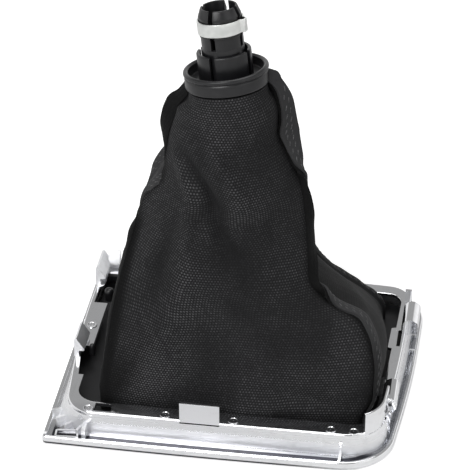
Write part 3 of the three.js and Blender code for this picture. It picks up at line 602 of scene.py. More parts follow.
# How satin a part of the bezel is: the high hooks on the left, and the low ribs at the front left corner.
def satinOf(points):
    top, right = points[:, 2].max(), points[:, 0].max()
    if top > duller["hooks"]["above"] and right < duller["hooks"]["leftOf"]:
        return duller["hooks"]["satin"]
    if top < duller["ribs"]["below"] and right < duller["ribs"]["leftOf"]:
        return duller["ribs"]["satin"]
    return 0.0


bezelParts = [cutWindows(sweptFrame())]
bezelParts += [slab(corners, *lobes["between"]) for corners in lobes["corners"]] + bezelFeatures()
spots = np.vstack([points for points, faces in bezelParts])[:, None, :2]
rim = outlineWalk("flange", 0, bezel["cornerSteps"], bezel["sideSteps"])[None]
inset = np.sqrt(np.sum((spots - rim) ** 2, axis=-1)).min(axis=1)
satin = np.concatenate([np.full(len(points), satinOf(points)) for points, faces in bezelParts])
bezelPiece = makePiece("platedBezel", bezelParts, plating, bezel["bevel"], sharpAbove=34,
                       marks={"inset": inset, "satin": satin})
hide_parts("bezel_frame")
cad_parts["inner_carrier"].data.materials.clear()
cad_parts["inner_carrier"].data.materials.append(carrierPlastic)

# Black pegs that come up through the left windows from the carrier: x, y, size
pegs = {"profile": [(0.02, 9), (2, 9), (2, 13.6), (1.5, 14.6), (0.02, 15)],
        "places": [(-61, 28.5, 1.0), (-60.4, -11, 0.62)]}


# A smaller peg is narrower and a little lower, and starts from the same height.
def pegPart(x, y, size):
    points, faces = turnedPart(pegs["profile"], 36, rounding=0.6)
    foot = pegs["profile"][0][1]
    lower = 0.25 * (1 - size)
    return points * np.array([size, size, 1 - lower]) + np.array([x, y, foot * lower]), faces


pegPiece = makePiece("carrierPegs", [pegPart(*place) for place in pegs["places"]], blackPlastic)

# Collar, set on the neck and leaning with it
collar = {"place": (-6.3, 0, 133.6), "leanLeft": 7.5, "leanBack": 7.5, "steps": 120, "slit": -107,
          "ringBevel": 0.22, "colletBevel": 0.18}
tilt = [math.tan(math.radians(collar[key])) for key in ("leanLeft", "leanBack")]
collarAxis = unit(np.array([-tilt[0], tilt[1], 1.0]))


# Turns points about the level line that takes the vertical to the collar's axis (the shortest turn).
def onCollar(points):
    points = np.asarray(points, float)
    cross = np.cross([0, 0, 1.0], collarAxis)
    sine, cosine = np.linalg.norm(cross), collarAxis[2]
    k = cross / sine
    turned = points * cosine + np.cross(k, points) * sine + (points @ k)[..., None] * k * (1 - cosine)
    return turned + np.array(collar["place"])


def collarPoint(radius, degrees, up):
    angle = np.radians(degrees)
    spot = np.broadcast_arrays(radius * np.cos(angle), radius * np.sin(angle), up)
    return onCollar(np.stack(spot, axis=-1))


def leaning(parts):
    return [(onCollar(points), faces) for points, faces in parts]


def fingers(profile, steps, gap, rounding):
    starts = [collar["slit"] + 90 * k for k in range(4)]
    return [turnedPart(profile, steps, rounding, (start, start + 90), gap) for start in starts]


ringBody = [
    (13.8, -5), (13.8, 0), (15.9, 0), (16.15, 0.5), (16.1, 4.3), (15.65, 4.75), (16.4, 5.35), (16.3, 6.4),
    (15.3, 6.9), (14.4, 6.4), (14.2, 2.6), (9.1, 2.6), (9.1, 1.2), (12.4, 1.2), (12.4, -5),
]
sleeveFinger = [(10.45, 2.2), (10.45, 13.25), (10.1, 13.6), (9.1, 13.6), (9.1, 2.2)]
ringParts = [turnedPart(ringBody, collar["steps"], 0.35)] + fingers(sleeveFinger, 30, 2.3, 0.3)
ringPiece = makePiece("collarRing", leaning(ringParts), blackPlastic, collar["ringBevel"])
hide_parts("collar_ring")

colletTube = [
    (8.05, -6), (8.05, -0.9), (10.6, -0.9), (10.6, 0.9), (8.05, 0.9), (8.05, 15.6), (6.3, 15.6), (6.3, -6),
]
colletFinger = [
    (8.05, 15.3), (8.05, 20), (8.4, 20), (8.4, 20.9), (8.05, 20.9), (8.05, 26.6), (8.2, 27.6), (6.95, 30.9),
    (6.3, 30.9), (6.3, 15.3),
]
colletParts = [turnedPart(colletTube, collar["steps"], 0.2)] + fingers(colletFinger, 26, 1.8, 0.25)
colletPiece = makePiece("knobCollet", leaning(colletParts), blackPlastic, collar["colletBevel"])
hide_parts("knob_collet")

clamp = {"inner": 8.35, "thick": 0.6, "low": 21.2, "high": 26.3, "rise": 1.5, "turn": -12, "half": 13,
         "dent": 0.06, "steps": 260}


# The band: a strip's rounded section carried round the collet. Its radius grows over the ear by
# 1.6 - 1.6 |angle / half| held between 0 and 1, and dips a little where it was drawn tight.
def clampBand():
    look = clamp
    outer = look["inner"] + look["thick"]
    section = roundedLoop([(look["inner"], look["low"]), (outer, look["low"]), (outer, look["high"]),
                           (look["inner"], look["high"])], [0.1, 0.22, 0.22, 0.1], 4)
    turn = np.linspace(0, 360, look["steps"], endpoint=False)[None, :]
    away = np.abs((turn - look["turn"] + 180) % 360 - 180) / look["half"]
    rise = look["rise"] * ease(0, 1, np.clip(1.6 - 1.6 * away, 0, 1))
    dents = look["dent"] * np.sin(np.radians(turn * 5 + 40)) * ease(1, 2.5, away)
    radius = section[:, :1] + rise + dents * (section[:, :1] > outer - look["thick"] / 2)
    points = collarPoint(radius, turn, section[:, 1:] + 0 * turn)
    return closedPart(points, [gridFaces(len(section), look["steps"], True, True)])


clampPiece = makePiece("bandClamp", [clampBand()], steel)
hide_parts("band_clamp")

# Gaiter: each seam runs from the neck to a corner of the foot, fifteen places in all.
cloth = {"thick": 1.0, "neckRadius": 14.6, "neckTop": -0.8, "neckBottom": -6.0, "hemTop": 9.5, "hem": 4.2,
         "flap": 6.2, "flapAtFoot": 2.0, "apart": 0.65, "flapColumns": 9, "hiddenColumns": 6}
seams = {
    "frontLeft": {"turn": 184, "lean": -0.7, "foot": 0, "line": [
        (-22, -2.2, 121), (-24.8, -4, 113), (-27.8, -6.5, 106), (-30, -8, 94), (-38.3, -6, 83),
        (-41.2, -8.5, 72), (-43.6, -13, 62), (-46, -17, 52), (-48.2, -21.5, 41), (-49.6, -27, 29),
        (-50.2, -35, 17)]},
    "frontRight": {"turn": 12, "lean": 0.85, "foot": 1, "line": [
        (10.6, 2, 121), (12.6, 1.5, 112), (18, -0.7, 102), (22.6, -2.5, 91.5), (25, -6, 78.5),
        (26.5, -9.8, 65), (28.5, -14.3, 54), (37, -19, 48.4), (48.5, -27, 47), (54.6, -33, 36),
        (55, -37, 20)]},
    "rearRight": {"turn": 50, "lean": 0.9, "foot": 2, "line": [
        (5.6, 10.6, 121), (8, 11.8, 112), (10, 13.8, 102), (14, 16, 91), (17, 17, 78), (19.5, 19, 64),
        (22, 22, 51), (27.5, 26, 40), (35, 31, 29.5), (44, 35, 21), (50.5, 37.5, 14)]},
    "rearLeft": {"turn": 140, "lean": -0.2, "foot": 3, "line": [
        (-17, 8.6, 121), (-19.4, 10.4, 112), (-22.8, 12.8, 103), (-27.5, 15.5, 93), (-35, 18, 82),
        (-38, 20, 70), (-41, 23, 58), (-44, 26, 47), (-47, 30, 36), (-50, 34, 25), (-50.5, 37, 16)]},
}
stations = 15
# How far the flaps on the two front seams reach sideways at each place, measured on their outline.
flapSide = {
    "frontLeft": [-1.5, -2.6, -4.6, -2.8, -0.4, -2.4, -0.6, -0.9, -1, -1, -1, -1, -1, -0.8, -0.6],
    "frontRight": [6.6, 5.4, 6.2, 7.8, 5, 1.4, 1.9, 1.3, 1.5, 2, 2, 2, 1.5, 1, 1],
}
# How far each of them is folded over towards the front, in degrees: 0 stands out, 180 lies on the panel.
# A negative turn folds it over the other way, behind the seam.
flapFold = {
    "frontLeft": [10, 8, 8, 8, -10, -158, -150] + [0] * 8,
    "frontRight": [150, 150, 152, 156, 145, 40, 5, 5, 60, 165, 172, 172, 172, 160, 130],
}
# How wide each of them is there beside the usual width.
flapSize = {
    "frontLeft": [0.6, 0.9, 1, 1, 0.4, 0.75, 0.8, 0.6, 0.8, 0.85, 0.85, 0.85, 0.9, 1, 1],
    "frontRight": [0.95, 1, 1.08, 1.26, 0.82, 0.4, 0.75, 0.85, 0.5, 0.9, 1.3, 1.4, 1.4, 1.3, 1.1],
}
# How far the cloth bells out sideways under the collar at each of the two seams.
belled = {"frontLeft": [-2, -4.4, -3.4, -3, -0.9] + [0] * 10, "frontRight": [2, 3, 2, 0.6] + [0] * 11}
# How far the tops of the two front flaps are drawn up beside the ring: across, back and up.
crests = {"frontLeft": (0.8, 0.4, 2.6), "frontRight": (-2.0, 1.0, 5.6)}


# Centripetal curve through places, at shares of the way along them.
def alongCurve(places, share):
    places = np.asarray(places, float)
    padded = np.vstack([2 * places[0] - places[1], places, 2 * places[-1] - places[-2]])
    spot = np.clip(share, 0, 1) * (len(places) - 1)
    first = np.minimum(spot.astype(int), len(places) - 2)
    t = (spot - first)[:, None]
    p0, p1, p2, p3 = (padded[first + k] for k in range(4))
    d0, d1, d2 = (np.sqrt(np.linalg.norm(b - a, axis=1, keepdims=True))
                  for a, b in ((p0, p1), (p1, p2), (p2, p3)))
    out = ((p1 - p0) / d0 - (p2 - p0) / (d0 + d1) + (p2 - p1) / d1) * d1
    into = ((p2 - p1) / d1 - (p3 - p1) / (d1 + d2) + (p3 - p2) / d2) * d1
    return p1 + out * t + (3 * (p2 - p1) - 2 * out - into) * t ** 2 + (2 * (p1 - p2) + out + into) * t ** 3


# Even curve through values, with held ends.
def alongValues(values, share):
    values = np.asarray(values, float)
    spot = np.clip(share, 0, 1) * (len(values) - 1)
    first = np.minimum(spot.astype(int), len(values) - 2)
    t = spot - first
    p0, p1 = values[np.maximum(first - 1, 0)], values[first]
    p2, p3 = values[first + 1], values[np.minimum(first + 2, len(values) - 1)]
    out, into = (p2 - p0) / 2, (p3 - p1) / 2
    return p1 + out * t + (3 * (p2 - p1) - 2 * out - into) * t ** 2 + (2 * (p1 - p2) + out + into) * t ** 3


# How firmly the collar holds the cloth: 1 at its top, eased to 0 before the third place.
def heldByCollar(down):
    return 1 - ease(0, 1.7, down * (stations - 1))


# The neck's circle on the collar's spigot, at a turn in degrees.
def onNeck(turn, down):
    up = cloth["neckTop"] + (cloth["neckBottom"] - cloth["neckTop"]) * down * (stations - 1)
    return collarPoint(cloth["neckRadius"], turn, up)


# A seam: a curve through its places from the neck to its corner of the foot, belled out under the collar.
def onSeam(name, down):
    seam = seams[name]
    foot = outlines["foot"][seam["foot"]]
    places = [collarPoint(cloth["neckRadius"], seam["turn"], cloth[end]) for end in ("neckTop", "neckBottom")]
    places += [np.array(place, float) for place in seam["line"]]
    places += [np.array([foot[0], foot[1], z]) for z in (cloth["hemTop"], cloth["hem"])]
    curve = alongCurve(places, down)
    if name in belled:
        curve[:, 0] += alongValues(belled[name], down)
    held = heldByCollar(down)[:, None]
    return curve + (onNeck(seam["turn"], down) - curve) * held


def seamWay(name, down):
    return unit(onSeam(name, np.minimum(down + 0.01, 1)) - onSeam(name, np.maximum(down - 0.01, 0)))


# Each panel: its swell between the seams at each place, how round that swell is, its folds (from and to
# across and down, width, height), and how slack its cloth is.
panels = {
    "front": {
        "seams": ("frontLeft", "frontRight"), "slack": 0.55, "columns": 128, "rows": 190,
        "swell": [15.6, 16, 16.5, 17, 17, 16, 15, 13, 11, 9, 6],
        "round": [0.9, 0.7, 0.5, 0.35, 0.25, 0.2, 0.15, 0.1, 0.1, 0.1, 0.1],
        "folds": [
            (0.04, 0.22, 0.38, 0.46, 0.045, 2.8), (0.43, 0.4, 0.1, 0.96, 0.085, 4.2),
            (0.18, 0.22, 0.66, 0.53, 0.06, -5.4), (0.4, 0.16, 0.62, 0.42, 0.055, 2.4),
            (0.74, 0.28, 0.88, 0.54, 0.08, -2.2), (0.27, 0.4, 0.17, 0.7, 0.045, -2.8),
            (0.15, 0.4, 0.11, 0.72, 0.045, 1.7), (0.62, 0.46, 0.48, 0.92, 0.15, -3.2),
            (0.9, 0.48, 0.86, 0.78, 0.05, 1.6), (0.62, 0.83, 0.98, 0.91, 0.12, -2.6),
            (0.55, 0.82, 0.62, 1, 0.16, 1.8),
        ],
    },
    "right": {
        "seams": ("frontRight", "rearRight"), "slack": 0.15, "columns": 64, "rows": 180,
        "swell": [1.2, 1, 1, 1, 1, 1, 1.5, 3, 4, 5, 4], "round": [0] * 11,
        "folds": [
            (0.5, 0.55, 0.6, 0.85, 0.2, -0.9), (0.22, 0.42, 0.16, 0.56, 0.07, 1.4),
            (0.45, 0.2, 0.4, 0.45, 0.1, -0.8),
        ],
    },
    "rear": {
        "seams": ("rearRight", "rearLeft"), "slack": 0.55, "columns": 96, "rows": 180,
        "swell": [5, 6, 7, 8, 9, 9, 9, 8, 7, 6, 4], "round": [0] * 11,
        "folds": [
            (0.35, 0.2, 0.25, 0.85, 0.09, 2), (0.6, 0.2, 0.7, 0.8, 0.1, -2),
            (0.5, 0.35, 0.42, 0.7, 0.06, 0.9), (0.8, 0.3, 0.85, 0.7, 0.05, 0.8),
            (0.15, 0.3, 0.12, 0.65, 0.05, -0.8),
        ],
    },
    "left": {
        "seams": ("rearLeft", "frontLeft"), "slack": 0.55, "columns": 64, "rows": 180,
        "swell": [1.5, 2, 1.5, 2, 1, 1.2, 1.2, 0.8, 0.8, 1.2, 2], "round": [0] * 11,
        "folds": [
            (0.4, 0.3, 0.3, 0.8, 0.14, 1.2), (0.7, 0.4, 0.7, 0.8, 0.12, -1.8),
            (0.5, 0.5, 0.6, 0.8, 0.06, 0.7),
        ],
    },
}


# How much of a line from one place to another is felt at each place: sin(pi s) along it, to a power, and
# exp(-(a / width)^2) aside of it.
def alongLine(line, across, down, power=1.0):
    fromAcross, fromDown, toAcross, toDown, width = line
    share = np.clip((down - fromDown) / (toDown - fromDown), 0, 1)
    away = (across - fromAcross - (toAcross - fromAcross) * share) / width
    return np.exp(-away * away) * np.sin(math.pi * share) ** power


# Height of the folds: a ridge or furrow along each line, fading towards the seams by sin(pi across).
def foldHeight(folds, across, down):
    height = sum(peak * alongLine(line, across, down) for *line, peak in folds)
    return height * np.sin(math.pi * across)


# Slack in the cloth: a sum of slanted sine waves that fades out at the seams, the neck and the hem.
def slack(across, down, seed):
    waves = np.random.default_rng(seed).uniform(size=(9, 4))
    height = 0.0 * (across + down)
    for size, slant, phase, weight in waves:
        pitch = 2.0 + 7.0 * size
        turns = pitch * (across + (slant - 0.5) * 1.6 * down) + phase
        bend = 3.0 * np.sin(5.0 * down + 6 * phase)
        height = height + (0.3 + 0.7 * weight) * np.sin(2 * math.pi * turns + bend) / pitch
    return height * np.sin(math.pi * across) ** 0.5 * ease(0.12, 0.3, down) * (1 - 0.6 * ease(0.85, 1, down))


# A place on a panel: the seams joined by a straight line, pushed outwards by swell sin(pi across) and the
# folds, and held to the neck's circle at the top, where the swell is the height of that circle's arc.
def onPanel(name, across, down, wrinkles=True):
    panel = panels[name]
    first, second = (seams[seam] for seam in panel["seams"])
    edge = onRoot if wrinkles and name != "front" else onSeam
    start, end = (edge(seam, down)[:, None, :] for seam in panel["seams"])
    bow = outlines["foot"][first["foot"]][3]
    sweep = (second["turn"] - first["turn"]) % 360
    arch = cloth["neckRadius"] * (1 - math.cos(math.radians(sweep / 2)))
    swell = alongValues([arch, arch] + panel["swell"] + [bow, bow], down)[:, None]
    roundness = alongValues([1, 1] + panel["round"] + [0, 0], down)[:, None]
    across, deep = across[None, :], down[:, None]
    share = across + ((1 - np.cos(math.pi * across)) / 2 - across) * roundness
    line = end - start
    outwards = unit(np.stack([line[..., 1], -line[..., 0], 0 * line[..., 0]], axis=-1))
    push = swell * np.sin(math.pi * across) + foldHeight(panel["folds"], across, deep)
    if wrinkles:
        push = push + panel["slack"] * slack(across, deep, len(name) * 7 + first["turn"])
    place = start + line * share[..., None] + outwards * push[..., None]
    neck = onNeck(first["turn"] + sweep * across, deep)
    return place + (neck - place) * heldByCollar(down)[:, None, None]


# The way a flap stands: sideways by its measured reach and back by the rest of its width on the front
# seams, laid over the panel beside it where the seam runs flat; between the two panels on the rear ones.
def flapWay(name, down):
    order = list(panels)
    before, after = order[(seams[name]["foot"] - 1) % 4], order[seams[name]["foot"]]
    seam = onSeam(name, down)
    along = seamWay(name, down)
    lean = seams[name]["lean"] * ease(1, 5, down * (stations - 1))[:, None]

    def square(vectors):
        return unit(vectors - along * np.sum(vectors * along, axis=1, keepdims=True))

    beside = [square(onPanel(panel, np.array([edge]), down, False)[:, 0] - seam)
              for panel, edge in ((before, 0.94), (after, 0.06))]
    onAxis = np.array(collar["place"]) + collarAxis * ((seam[:, 2:] - collar["place"][2]) / collarAxis[2])
    radial = square(seam - onAxis)
    between = radial * (0.5 + heldByCollar(down)[:, None]) - beside[0] * (1 + lean) - beside[1] * (1 - lean)
    between = square(between)
    if name not in flapSide:
        return between
    width = flapWidth(name, down)
    side = alongValues(flapSide[name], down)
    side = np.sign(side) * np.minimum(np.abs(side), width * 0.97)
    back = np.sqrt(width ** 2 - side ** 2)
    measured = square(np.stack([side, back, 0 * back], axis=1) / width[:, None])
    if name == "frontLeft":
        return measured
    laid = square(beside[1] + 0.3 * between)
    spread = ease(6.6, 8.4, down * (stations - 1))[:, None]
    return square(measured * (1 - spread) + laid * spread)


def flapWidth(name, down):
    width = cloth["flap"] + (cloth["flapAtFoot"] - cloth["flap"]) * ease(0.62, 1, down)
    return width * (alongValues(flapSize[name], down) if name in flapSize else 1)


# The line that a flap stands on. Where the flap is folded over, the seam behind it has moved back by half
# of 1 - cos(fold) of the flap's width, so that the free edge lies where the panel is seen to end.
def onRoot(name, down):
    if name not in flapFold:
        return onSeam(name, down)
    fold = np.radians(alongValues(flapFold[name], down))[:, None]
    return onSeam(name, down) + flapWay(name, down) * flapWidth(name, down)[:, None] * (1 - np.cos(fold)) / 2


# Which way the flap points from its root: its way turned by its fold, towards the front where that is
# positive and behind the seam where it is negative.
def foldedWay(name, down):
    way = flapWay(name, down)
    if name not in flapFold:
        return way
    fold = np.radians(alongValues(flapFold[name], down))[:, None]
    forwards = unit(np.cross(way, seamWay(name, down))) * (-1 if name == "frontRight" else 1)
    return unit(way * np.cos(fold) + forwards * np.sin(fold))


# A flap's surface, and the way it faces: out from the seam by its width, crowned by sin(pi share), with
# a lazy wave along its free edge and two shallow grooves where the stitches pull it in. The top of a
# crested flap moves by its crest times 0.15 + 0.85 sqrt(s (2 - s)), a quarter round from its root.
def onFlap(name, side, share, down):
    seam, along, way = onRoot(name, down), seamWay(name, down), foldedWay(name, down)
    facing = unit(np.cross(way, along))
    s, deep = share[None, :], down[:, None]
    wave = 0.3 * np.sin(2 * math.pi * (deep * 7 + seams[name]["turn"] / 90)) * s ** 2
    wave = wave + 0.12 * np.sin(2 * math.pi * (deep * 19 + seams[name]["lean"])) * s ** 3
    grooves = sum(np.exp(-((s - row) / 0.07) ** 2) for row in stitches["rows"])
    crown = cloth["apart"] - 0.16 * grooves + 0.35 * np.sin(math.pi * s)
    lift = side * crown + wave * ease(0.03, 0.1, deep)
    width = flapWidth(name, down)[:, None] * (1 + 0.02 * np.sin(2 * math.pi * deep * 11))
    place = seam[:, None] + way[:, None] * (width * s)[..., None] + facing[:, None] * lift[..., None]
    if name in crests:
        top = (1 - ease(-0.03, 0.1, deep)) * (0.15 + 0.85 * np.sqrt(s * (2 - s)))
        place = place + top[..., None] * np.array(crests[name])
    return place, facing * side


stitches = {"rows": (0.4, 0.7), "starts": 0.06, "ends": 0.93, "pitch": 3.3, "long": 2.9, "radius": 0.24,
            "slant": 0.42, "rings": 5, "sides": 6}


# Painted shade in the cloth's colour, 1 for black: beside the seams, on flaps that are turned from the light,
# on the right panel, and at the front left corner and edge. "grey" is how much of a flap the right panel's
# flap
# counts as: the less, the darker it is painted, with more of the panel's painted shade.
cast = {"seam": 0.7, "seamColumns": 3.0, "frontFlaps": 1.12, "rightFoot": 0.8, "rightPanel": 0.68,
        "rightFlap": 0.7, "grey": 0.25, "corner": 0.92, "cornerReach": 0.17, "leftEdge": 1.1,
        "leftReach": 0.045}


# A panel's middle surface with its two flaps, as one grid, how much of a flap each column is, and how much
# painted shade lies on each place.
def panelGrid(name):
    panel = panels[name]
    down = np.linspace(0, 1, panel["rows"] + 1)
    deep = down[:, None]
    shares = np.linspace(0, 1, cloth["flapColumns"])
    left, _ = onFlap(panel["seams"][0], 1, shares, down)
    right, _ = onFlap(panel["seams"][1], -1, shares, down)
    across = np.linspace(0, 1, panel["columns"] + 1)[1:-1]
    inner = onPanel(name, across, down)
    fromSeam = np.minimum(across, 1 - across) * panel["columns"]
    # Painted shade beside the seams, fading over a few columns into the panel.
    paintedShade = cast["seam"] * np.exp(-(fromSeam / cast["seamColumns"]) ** 2) + 0 * deep
    flat = np.zeros(left.shape[:2])
    strips = [left[:, ::-1], inner, right]
    marks = [np.ones(len(shares)), np.zeros(len(across)), np.ones(len(shares))]
    shades = [flat, paintedShade, flat]
    if name == "right":
        # its front flap ends in the painted shade of the bezel, and the panel lies in the painted shade of
        # the gaiter
        marks[2] = marks[2] * cast["grey"]
        shades = [flat + cast["rightFoot"] * ease(0.72, 0.85, deep), np.maximum(paintedShade, cast["rightPanel"]),
                  flat + cast["rightFlap"]]
    if name == "front":
        # it runs on under its folded flaps to their roots, painted black there as shade, and its front left
        # corner and left edge, turned from the light, are painted dark as shade
        hidden = cloth["hiddenColumns"]
        t = np.linspace(0, 1, hidden)[None, :, None]
        unders = [onSeam(seam, down)[:, None] * (1 - t) + onRoot(seam, down)[:, None] * t
                  for seam in panel["seams"]]
        strips = [strips[0], unders[0][:, ::-1], inner, unders[1], strips[2]]
        marks = [marks[0], np.zeros(hidden), marks[1], np.zeros(hidden), marks[2]]
        reach = cast["cornerReach"] * (1 - (deep - 0.8) / 0.2)
        corner = cast["corner"] * ease(0.74, 0.86, deep) * (1 - ease(-0.06, 0.04, across - reach))
        corner = np.maximum(corner, cast["leftEdge"] * ease(0.42, 0.5, deep)
                            * np.exp(-(across / cast["leftReach"]) ** 4))
        flap, under = flat + cast["frontFlaps"], np.ones((len(down), hidden))
        shades = [flap, under, np.maximum(paintedShade, corner), under, flap]
    return np.concatenate(strips, axis=1), np.concatenate(marks), np.concatenate(shades, axis=1)


# Gives a grid half its thickness to both sides along the cross product of its two directions, and closes
# it round its edge.
def thickened(grid, thickness):
    acrossWay = np.gradient(grid, axis=1)
    downWay = np.gradient(grid, axis=0)
    facing = unit(np.cross(downWay, acrossWay))
    rows, columns = grid.shape[:2]
    count = rows * columns
    points = np.concatenate([grid + facing * thickness / 2, grid - facing * thickness / 2]).reshape(-1, 3)
    front = gridFaces(rows, columns)
    index = np.arange(count).reshape(rows, columns)
    rim = np.concatenate([index[0, :-1], index[:-1, -1], index[-1, :0:-1], index[:0:-1, 0]])
    after = np.roll(rim, -1)
    wall = np.stack([rim, rim + count, after + count, after], axis=1)
    return closedPart(points, [front, front[:, ::-1] + count, wall])


# The cut piece laid flat: the running length of each row from its middle, and of the middle column down.
def clothMap(grid):
    steps = np.linalg.norm(np.diff(grid, axis=1), axis=2)
    runs = np.concatenate([np.zeros((len(grid), 1)), np.cumsum(steps, axis=1)], axis=1)
    middle = grid.shape[1] // 2
    runs = runs - runs[:, middle:middle + 1]
    falls = np.linalg.norm(np.diff(grid[:, middle], axis=0), axis=1)
    lengths = np.concatenate([[0.0], np.cumsum(falls)])[:, None] + 0 * runs
    return np.stack([runs, lengths], axis=-1).reshape(-1, 2)


# Where the dots of a panel get a painted highlight: bands along lines across and down, where they would catch
# the light.
dotHighlightBands = {
    "front": {"base": 0.45, "bands": [
        (0.06, 0.22, 0.38, 0.46, 0.06, 0.5), (0.43, 0.38, 0.1, 0.98, 0.1, 0.55),
        (0.45, 0.14, 0.62, 0.44, 0.08, 0.4), (0.5, 0.8, 0.6, 1.0, 0.25, 0.2), (0.4, 0.0, 0.5, 0.3, 0.4, 0.12),
        (0.18, 0.22, 0.66, 0.53, 0.06, -0.4), (0.27, 0.4, 0.17, 0.7, 0.05, -0.35),
        (0.62, 0.46, 0.48, 0.92, 0.14, -0.22)]},
    "right": {"base": 0.2, "bands": []},
    "rear": {"base": 0.6, "bands": [(0.5, 0.2, 0.5, 0.9, 0.25, 0.3)]},
    "left": {"base": 0.4, "bands": []},
}


def paintedDotHighlight(name, count, rows, columns):
    band = dotHighlightBands[name]
    across = np.clip((np.arange(count) - (count - columns) / 2) / columns, 0, 1)[None, :]
    down = np.linspace(0, 1, rows)[:, None]
    dotHighlight = band["base"] + 0 * (across + down)
    for *line, more in band["bands"]:
        dotHighlight = dotHighlight + more * alongLine(line, across, down, 0.5)
    return np.clip(dotHighlight, 0, 1)


# Each panel as it is cut, in metres, how strong the painted highlight on its dots is, and how much of its
# backing stays clear of the painted shade that darkens the side panels
cuts = {
    "front": {"flat": (0.125, 0.150), "area": 0.0130, "dots": 1.0, "grey": 1.0},
    "right": {"flat": (0.085, 0.145), "area": 0.0066, "dots": 0.5, "grey": 0.5},
    "rear": {"flat": (0.112, 0.140), "area": 0.0088, "dots": 0.8, "grey": 1.0},
    "left": {"flat": (0.085, 0.140), "area": 0.0060, "dots": 0.6, "grey": 0.9},
}
for name, panel in panels.items():
    cut = cuts[name]
    grid, onEdge, paintedShadeGrid = panelGrid(name)
    part = thickened(grid, cloth["thick"])
    uv = np.tile(clothMap(grid), (2, 1))
    dotHighlight = np.tile(paintedDotHighlight(name, len(onEdge), grid.shape[0], panel["columns"]).ravel(), 2)
    flap, paintedShade = (np.tile((values + 0 * paintedShadeGrid).ravel(), 2) for values in (onEdge, paintedShadeGrid))
    material = clothMaterial(name + "Cloth", cut["dots"], cut["grey"])
    piece = makePiece(name + "Panel", [part], material, uv=uv, sharpAbove=60,
                      marks={"dots": dotHighlight, "flap": flap, "paintedShade": paintedShade})
    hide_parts(name + "_panel")


# Threads: capsules laid along a flap at a slant, as rings whose radius is r sqrt(1 - s^4), closed by a
# small end face. Each row steps along the seam by the pitch.
def threadPart(name, side, row):
    look = stitches
    fine = np.linspace(look["starts"], look["ends"], 700)
    run = np.concatenate([[0.0], np.cumsum(np.linalg.norm(np.diff(onSeam(name, fine), axis=0), axis=1))])
    spots = np.arange(look["pitch"] * (0.5 if row == look["rows"][0] else 1.0), run[-1] - 2, look["pitch"])
    down = np.interp(spots, run, fine)
    place, facing = onFlap(name, side, np.array([row]), down)
    ahead, _ = onFlap(name, side, np.array([row]), np.minimum(down + 0.004, 1))
    along = unit(ahead[:, 0] - place[:, 0])
    across = unit(np.cross(along, facing))
    way = unit(along + across * look["slant"])
    up = unit(facing - way * np.sum(facing * way, axis=1, keepdims=True))
    sideways = np.cross(way, up)
    s = np.linspace(-0.97, 0.97, look["rings"])[None, :, None, None]
    turn = (np.arange(look["sides"]) * 2 * math.pi / look["sides"])[None, None, :, None]
    radius = look["radius"] * np.sqrt(1 - s ** 4)
    middle = place[:, 0] + facing * (cloth["thick"] / 2 + look["radius"] * 0.25)
    crown = -0.2 * s ** 2
    points = middle[:, None, None] + way[:, None, None] * s * look["long"] / 2
    points = points + up[:, None, None] * (radius * np.cos(turn) + crown)
    points = points + sideways[:, None, None] * radius * np.sin(turn)
    one = gridFaces(look["rings"], look["sides"], False, True)
    each = look["rings"] * look["sides"]
    starts = (np.arange(len(down)) * each)[:, None, None]
    tubes = (one[None] + starts).reshape(-1, 4)
    cap = np.arange(look["sides"])
    lows = cap[None, ::-1] + starts[:, 0]
    highs = cap[None, :] + each - look["sides"] + starts[:, 0]
    return closedPart(points, [tubes, lows, highs])


# The flaps whose stitches show, each with its side
sewn = [("frontRight", 1), ("frontLeft", -1), ("rearRight", -1), ("rearRight", 1), ("rearLeft", 1),
        ("rearLeft", -1)]
threadParts = [threadPart(seam, side, row) for seam, side in sewn for row in stitches["rows"]]
threadPiece = makePiece("seamThreads", threadParts, thread, sharpAbove=80)

# Floor, background, light and camera
studio = {
    "floorTone": 0.88, "floorLift": 0.6, "mirrorLift": 0.06, "floorReach": 3,
    "around": 0.2, "seen": 1.0, "upper": 0.33, "backdropEnds": (0.22, 0.5), "aim": 0.07,
    # place, size, power
    "lamps": [((-0.36, -0.82, 1.05), 0.8, 8.8), ((0.75, -0.45, 0.8), 0.7, 1.0), ((0.0, 0.4, 1.15), 0.8, 3.6)],
}


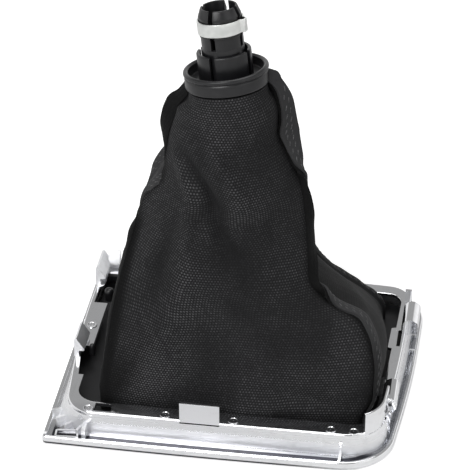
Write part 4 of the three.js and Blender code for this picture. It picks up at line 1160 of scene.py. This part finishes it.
# White paper that keeps the shadow, lifted a little where it is seen.
def makeFloor():
    reach, tone = studio["floorReach"], studio["floorTone"]
    corners = [(-reach, -reach, 0), (reach, -reach, 0), (reach, reach, 0), (-reach, reach, 0)]
    mesh = bpy.data.meshes.new("studioFloor")
    mesh.from_pydata(corners, [], [(0, 1, 2, 3)])
    shade = Shader("studioFloor")
    paper = shade.noise(shade.place(), 60.0, 3.0)
    colour = shade.blend(paper, (tone, tone, tone), (tone * 0.99,) * 3)
    seen, mirrored = shade.rays("Camera", "Glossy")
    surface = shade.add("ShaderNodeBsdfDiffuse", values={"Color": colour})
    lift = seen * studio["floorLift"] + mirrored * studio["mirrorLift"]
    glow = shade.add("ShaderNodeEmission", values={"Strength": lift})
    both = shade.add("ShaderNodeAddShader", values={0: surface, 1: glow})
    mesh.materials.append(shade.output("Material", both))
    floor = bpy.data.objects.new("studioFloor", mesh)
    bpy.context.scene.collection.objects.link(floor)


# White where it is seen; what the plating mirrors is a white backdrop that ends some way up, and above it
# the grey of the studio.
def makeWorld():
    world = bpy.data.worlds.new("studio")
    world.use_nodes = True
    bpy.context.scene.world = world
    shade = Shader("studio", world.node_tree)
    seen, glossy, through = shade.rays("Camera", "Glossy", "Transmission")
    height = shade.axes(shade.add("ShaderNodeTexCoord"), "Z")[0]
    backdrop = studio["seen"] + (studio["upper"] - studio["seen"]) * height.rise(*studio["backdropEnds"])
    strength = studio["around"] + (1.0 - studio["around"]) * (seen + through)
    strength = strength + (backdrop - studio["around"]) * glossy
    sky = shade.add("ShaderNodeBackground", values={"Color": (1.0, 1.0, 1.0), "Strength": strength})
    shade.output("World", sky)


def makeLamp(number, place, size, power):
    light = bpy.data.lights.new("softbox%d" % number, "AREA")
    light.shape, light.size, light.energy = "DISK", size, power
    lamp = bpy.data.objects.new(light.name, light)
    lamp.location = place
    x, y, z = np.array([0, 0, studio["aim"]]) - np.array(place)
    lamp.rotation_euler = (math.atan2(math.hypot(x, y), -z), 0, math.atan2(y, x) - math.pi / 2)
    bpy.context.scene.collection.objects.link(lamp)


makeFloor()
makeWorld()
for number, lamp in enumerate(studio["lamps"]):
    makeLamp(number, *lamp)

view = {"place": (0.10693, -0.75334, 0.5595), "azimuth": 8.3, "elevation": 33.0, "lens": 176.17}
cameraData = bpy.data.cameras.new("photographer")
cameraData.lens, cameraData.sensor_width = view["lens"], 36.0
cameraObject = bpy.data.objects.new("photographer", cameraData)
cameraObject.location = view["place"]
cameraObject.rotation_euler = (math.radians(90 - view["elevation"]), 0, math.radians(view["azimuth"]))
bpy.context.scene.collection.objects.link(cameraObject)
bpy.context.scene.camera = cameraObject
bpy.context.scene.view_settings.view_transform = "Standard"
print("studio set")
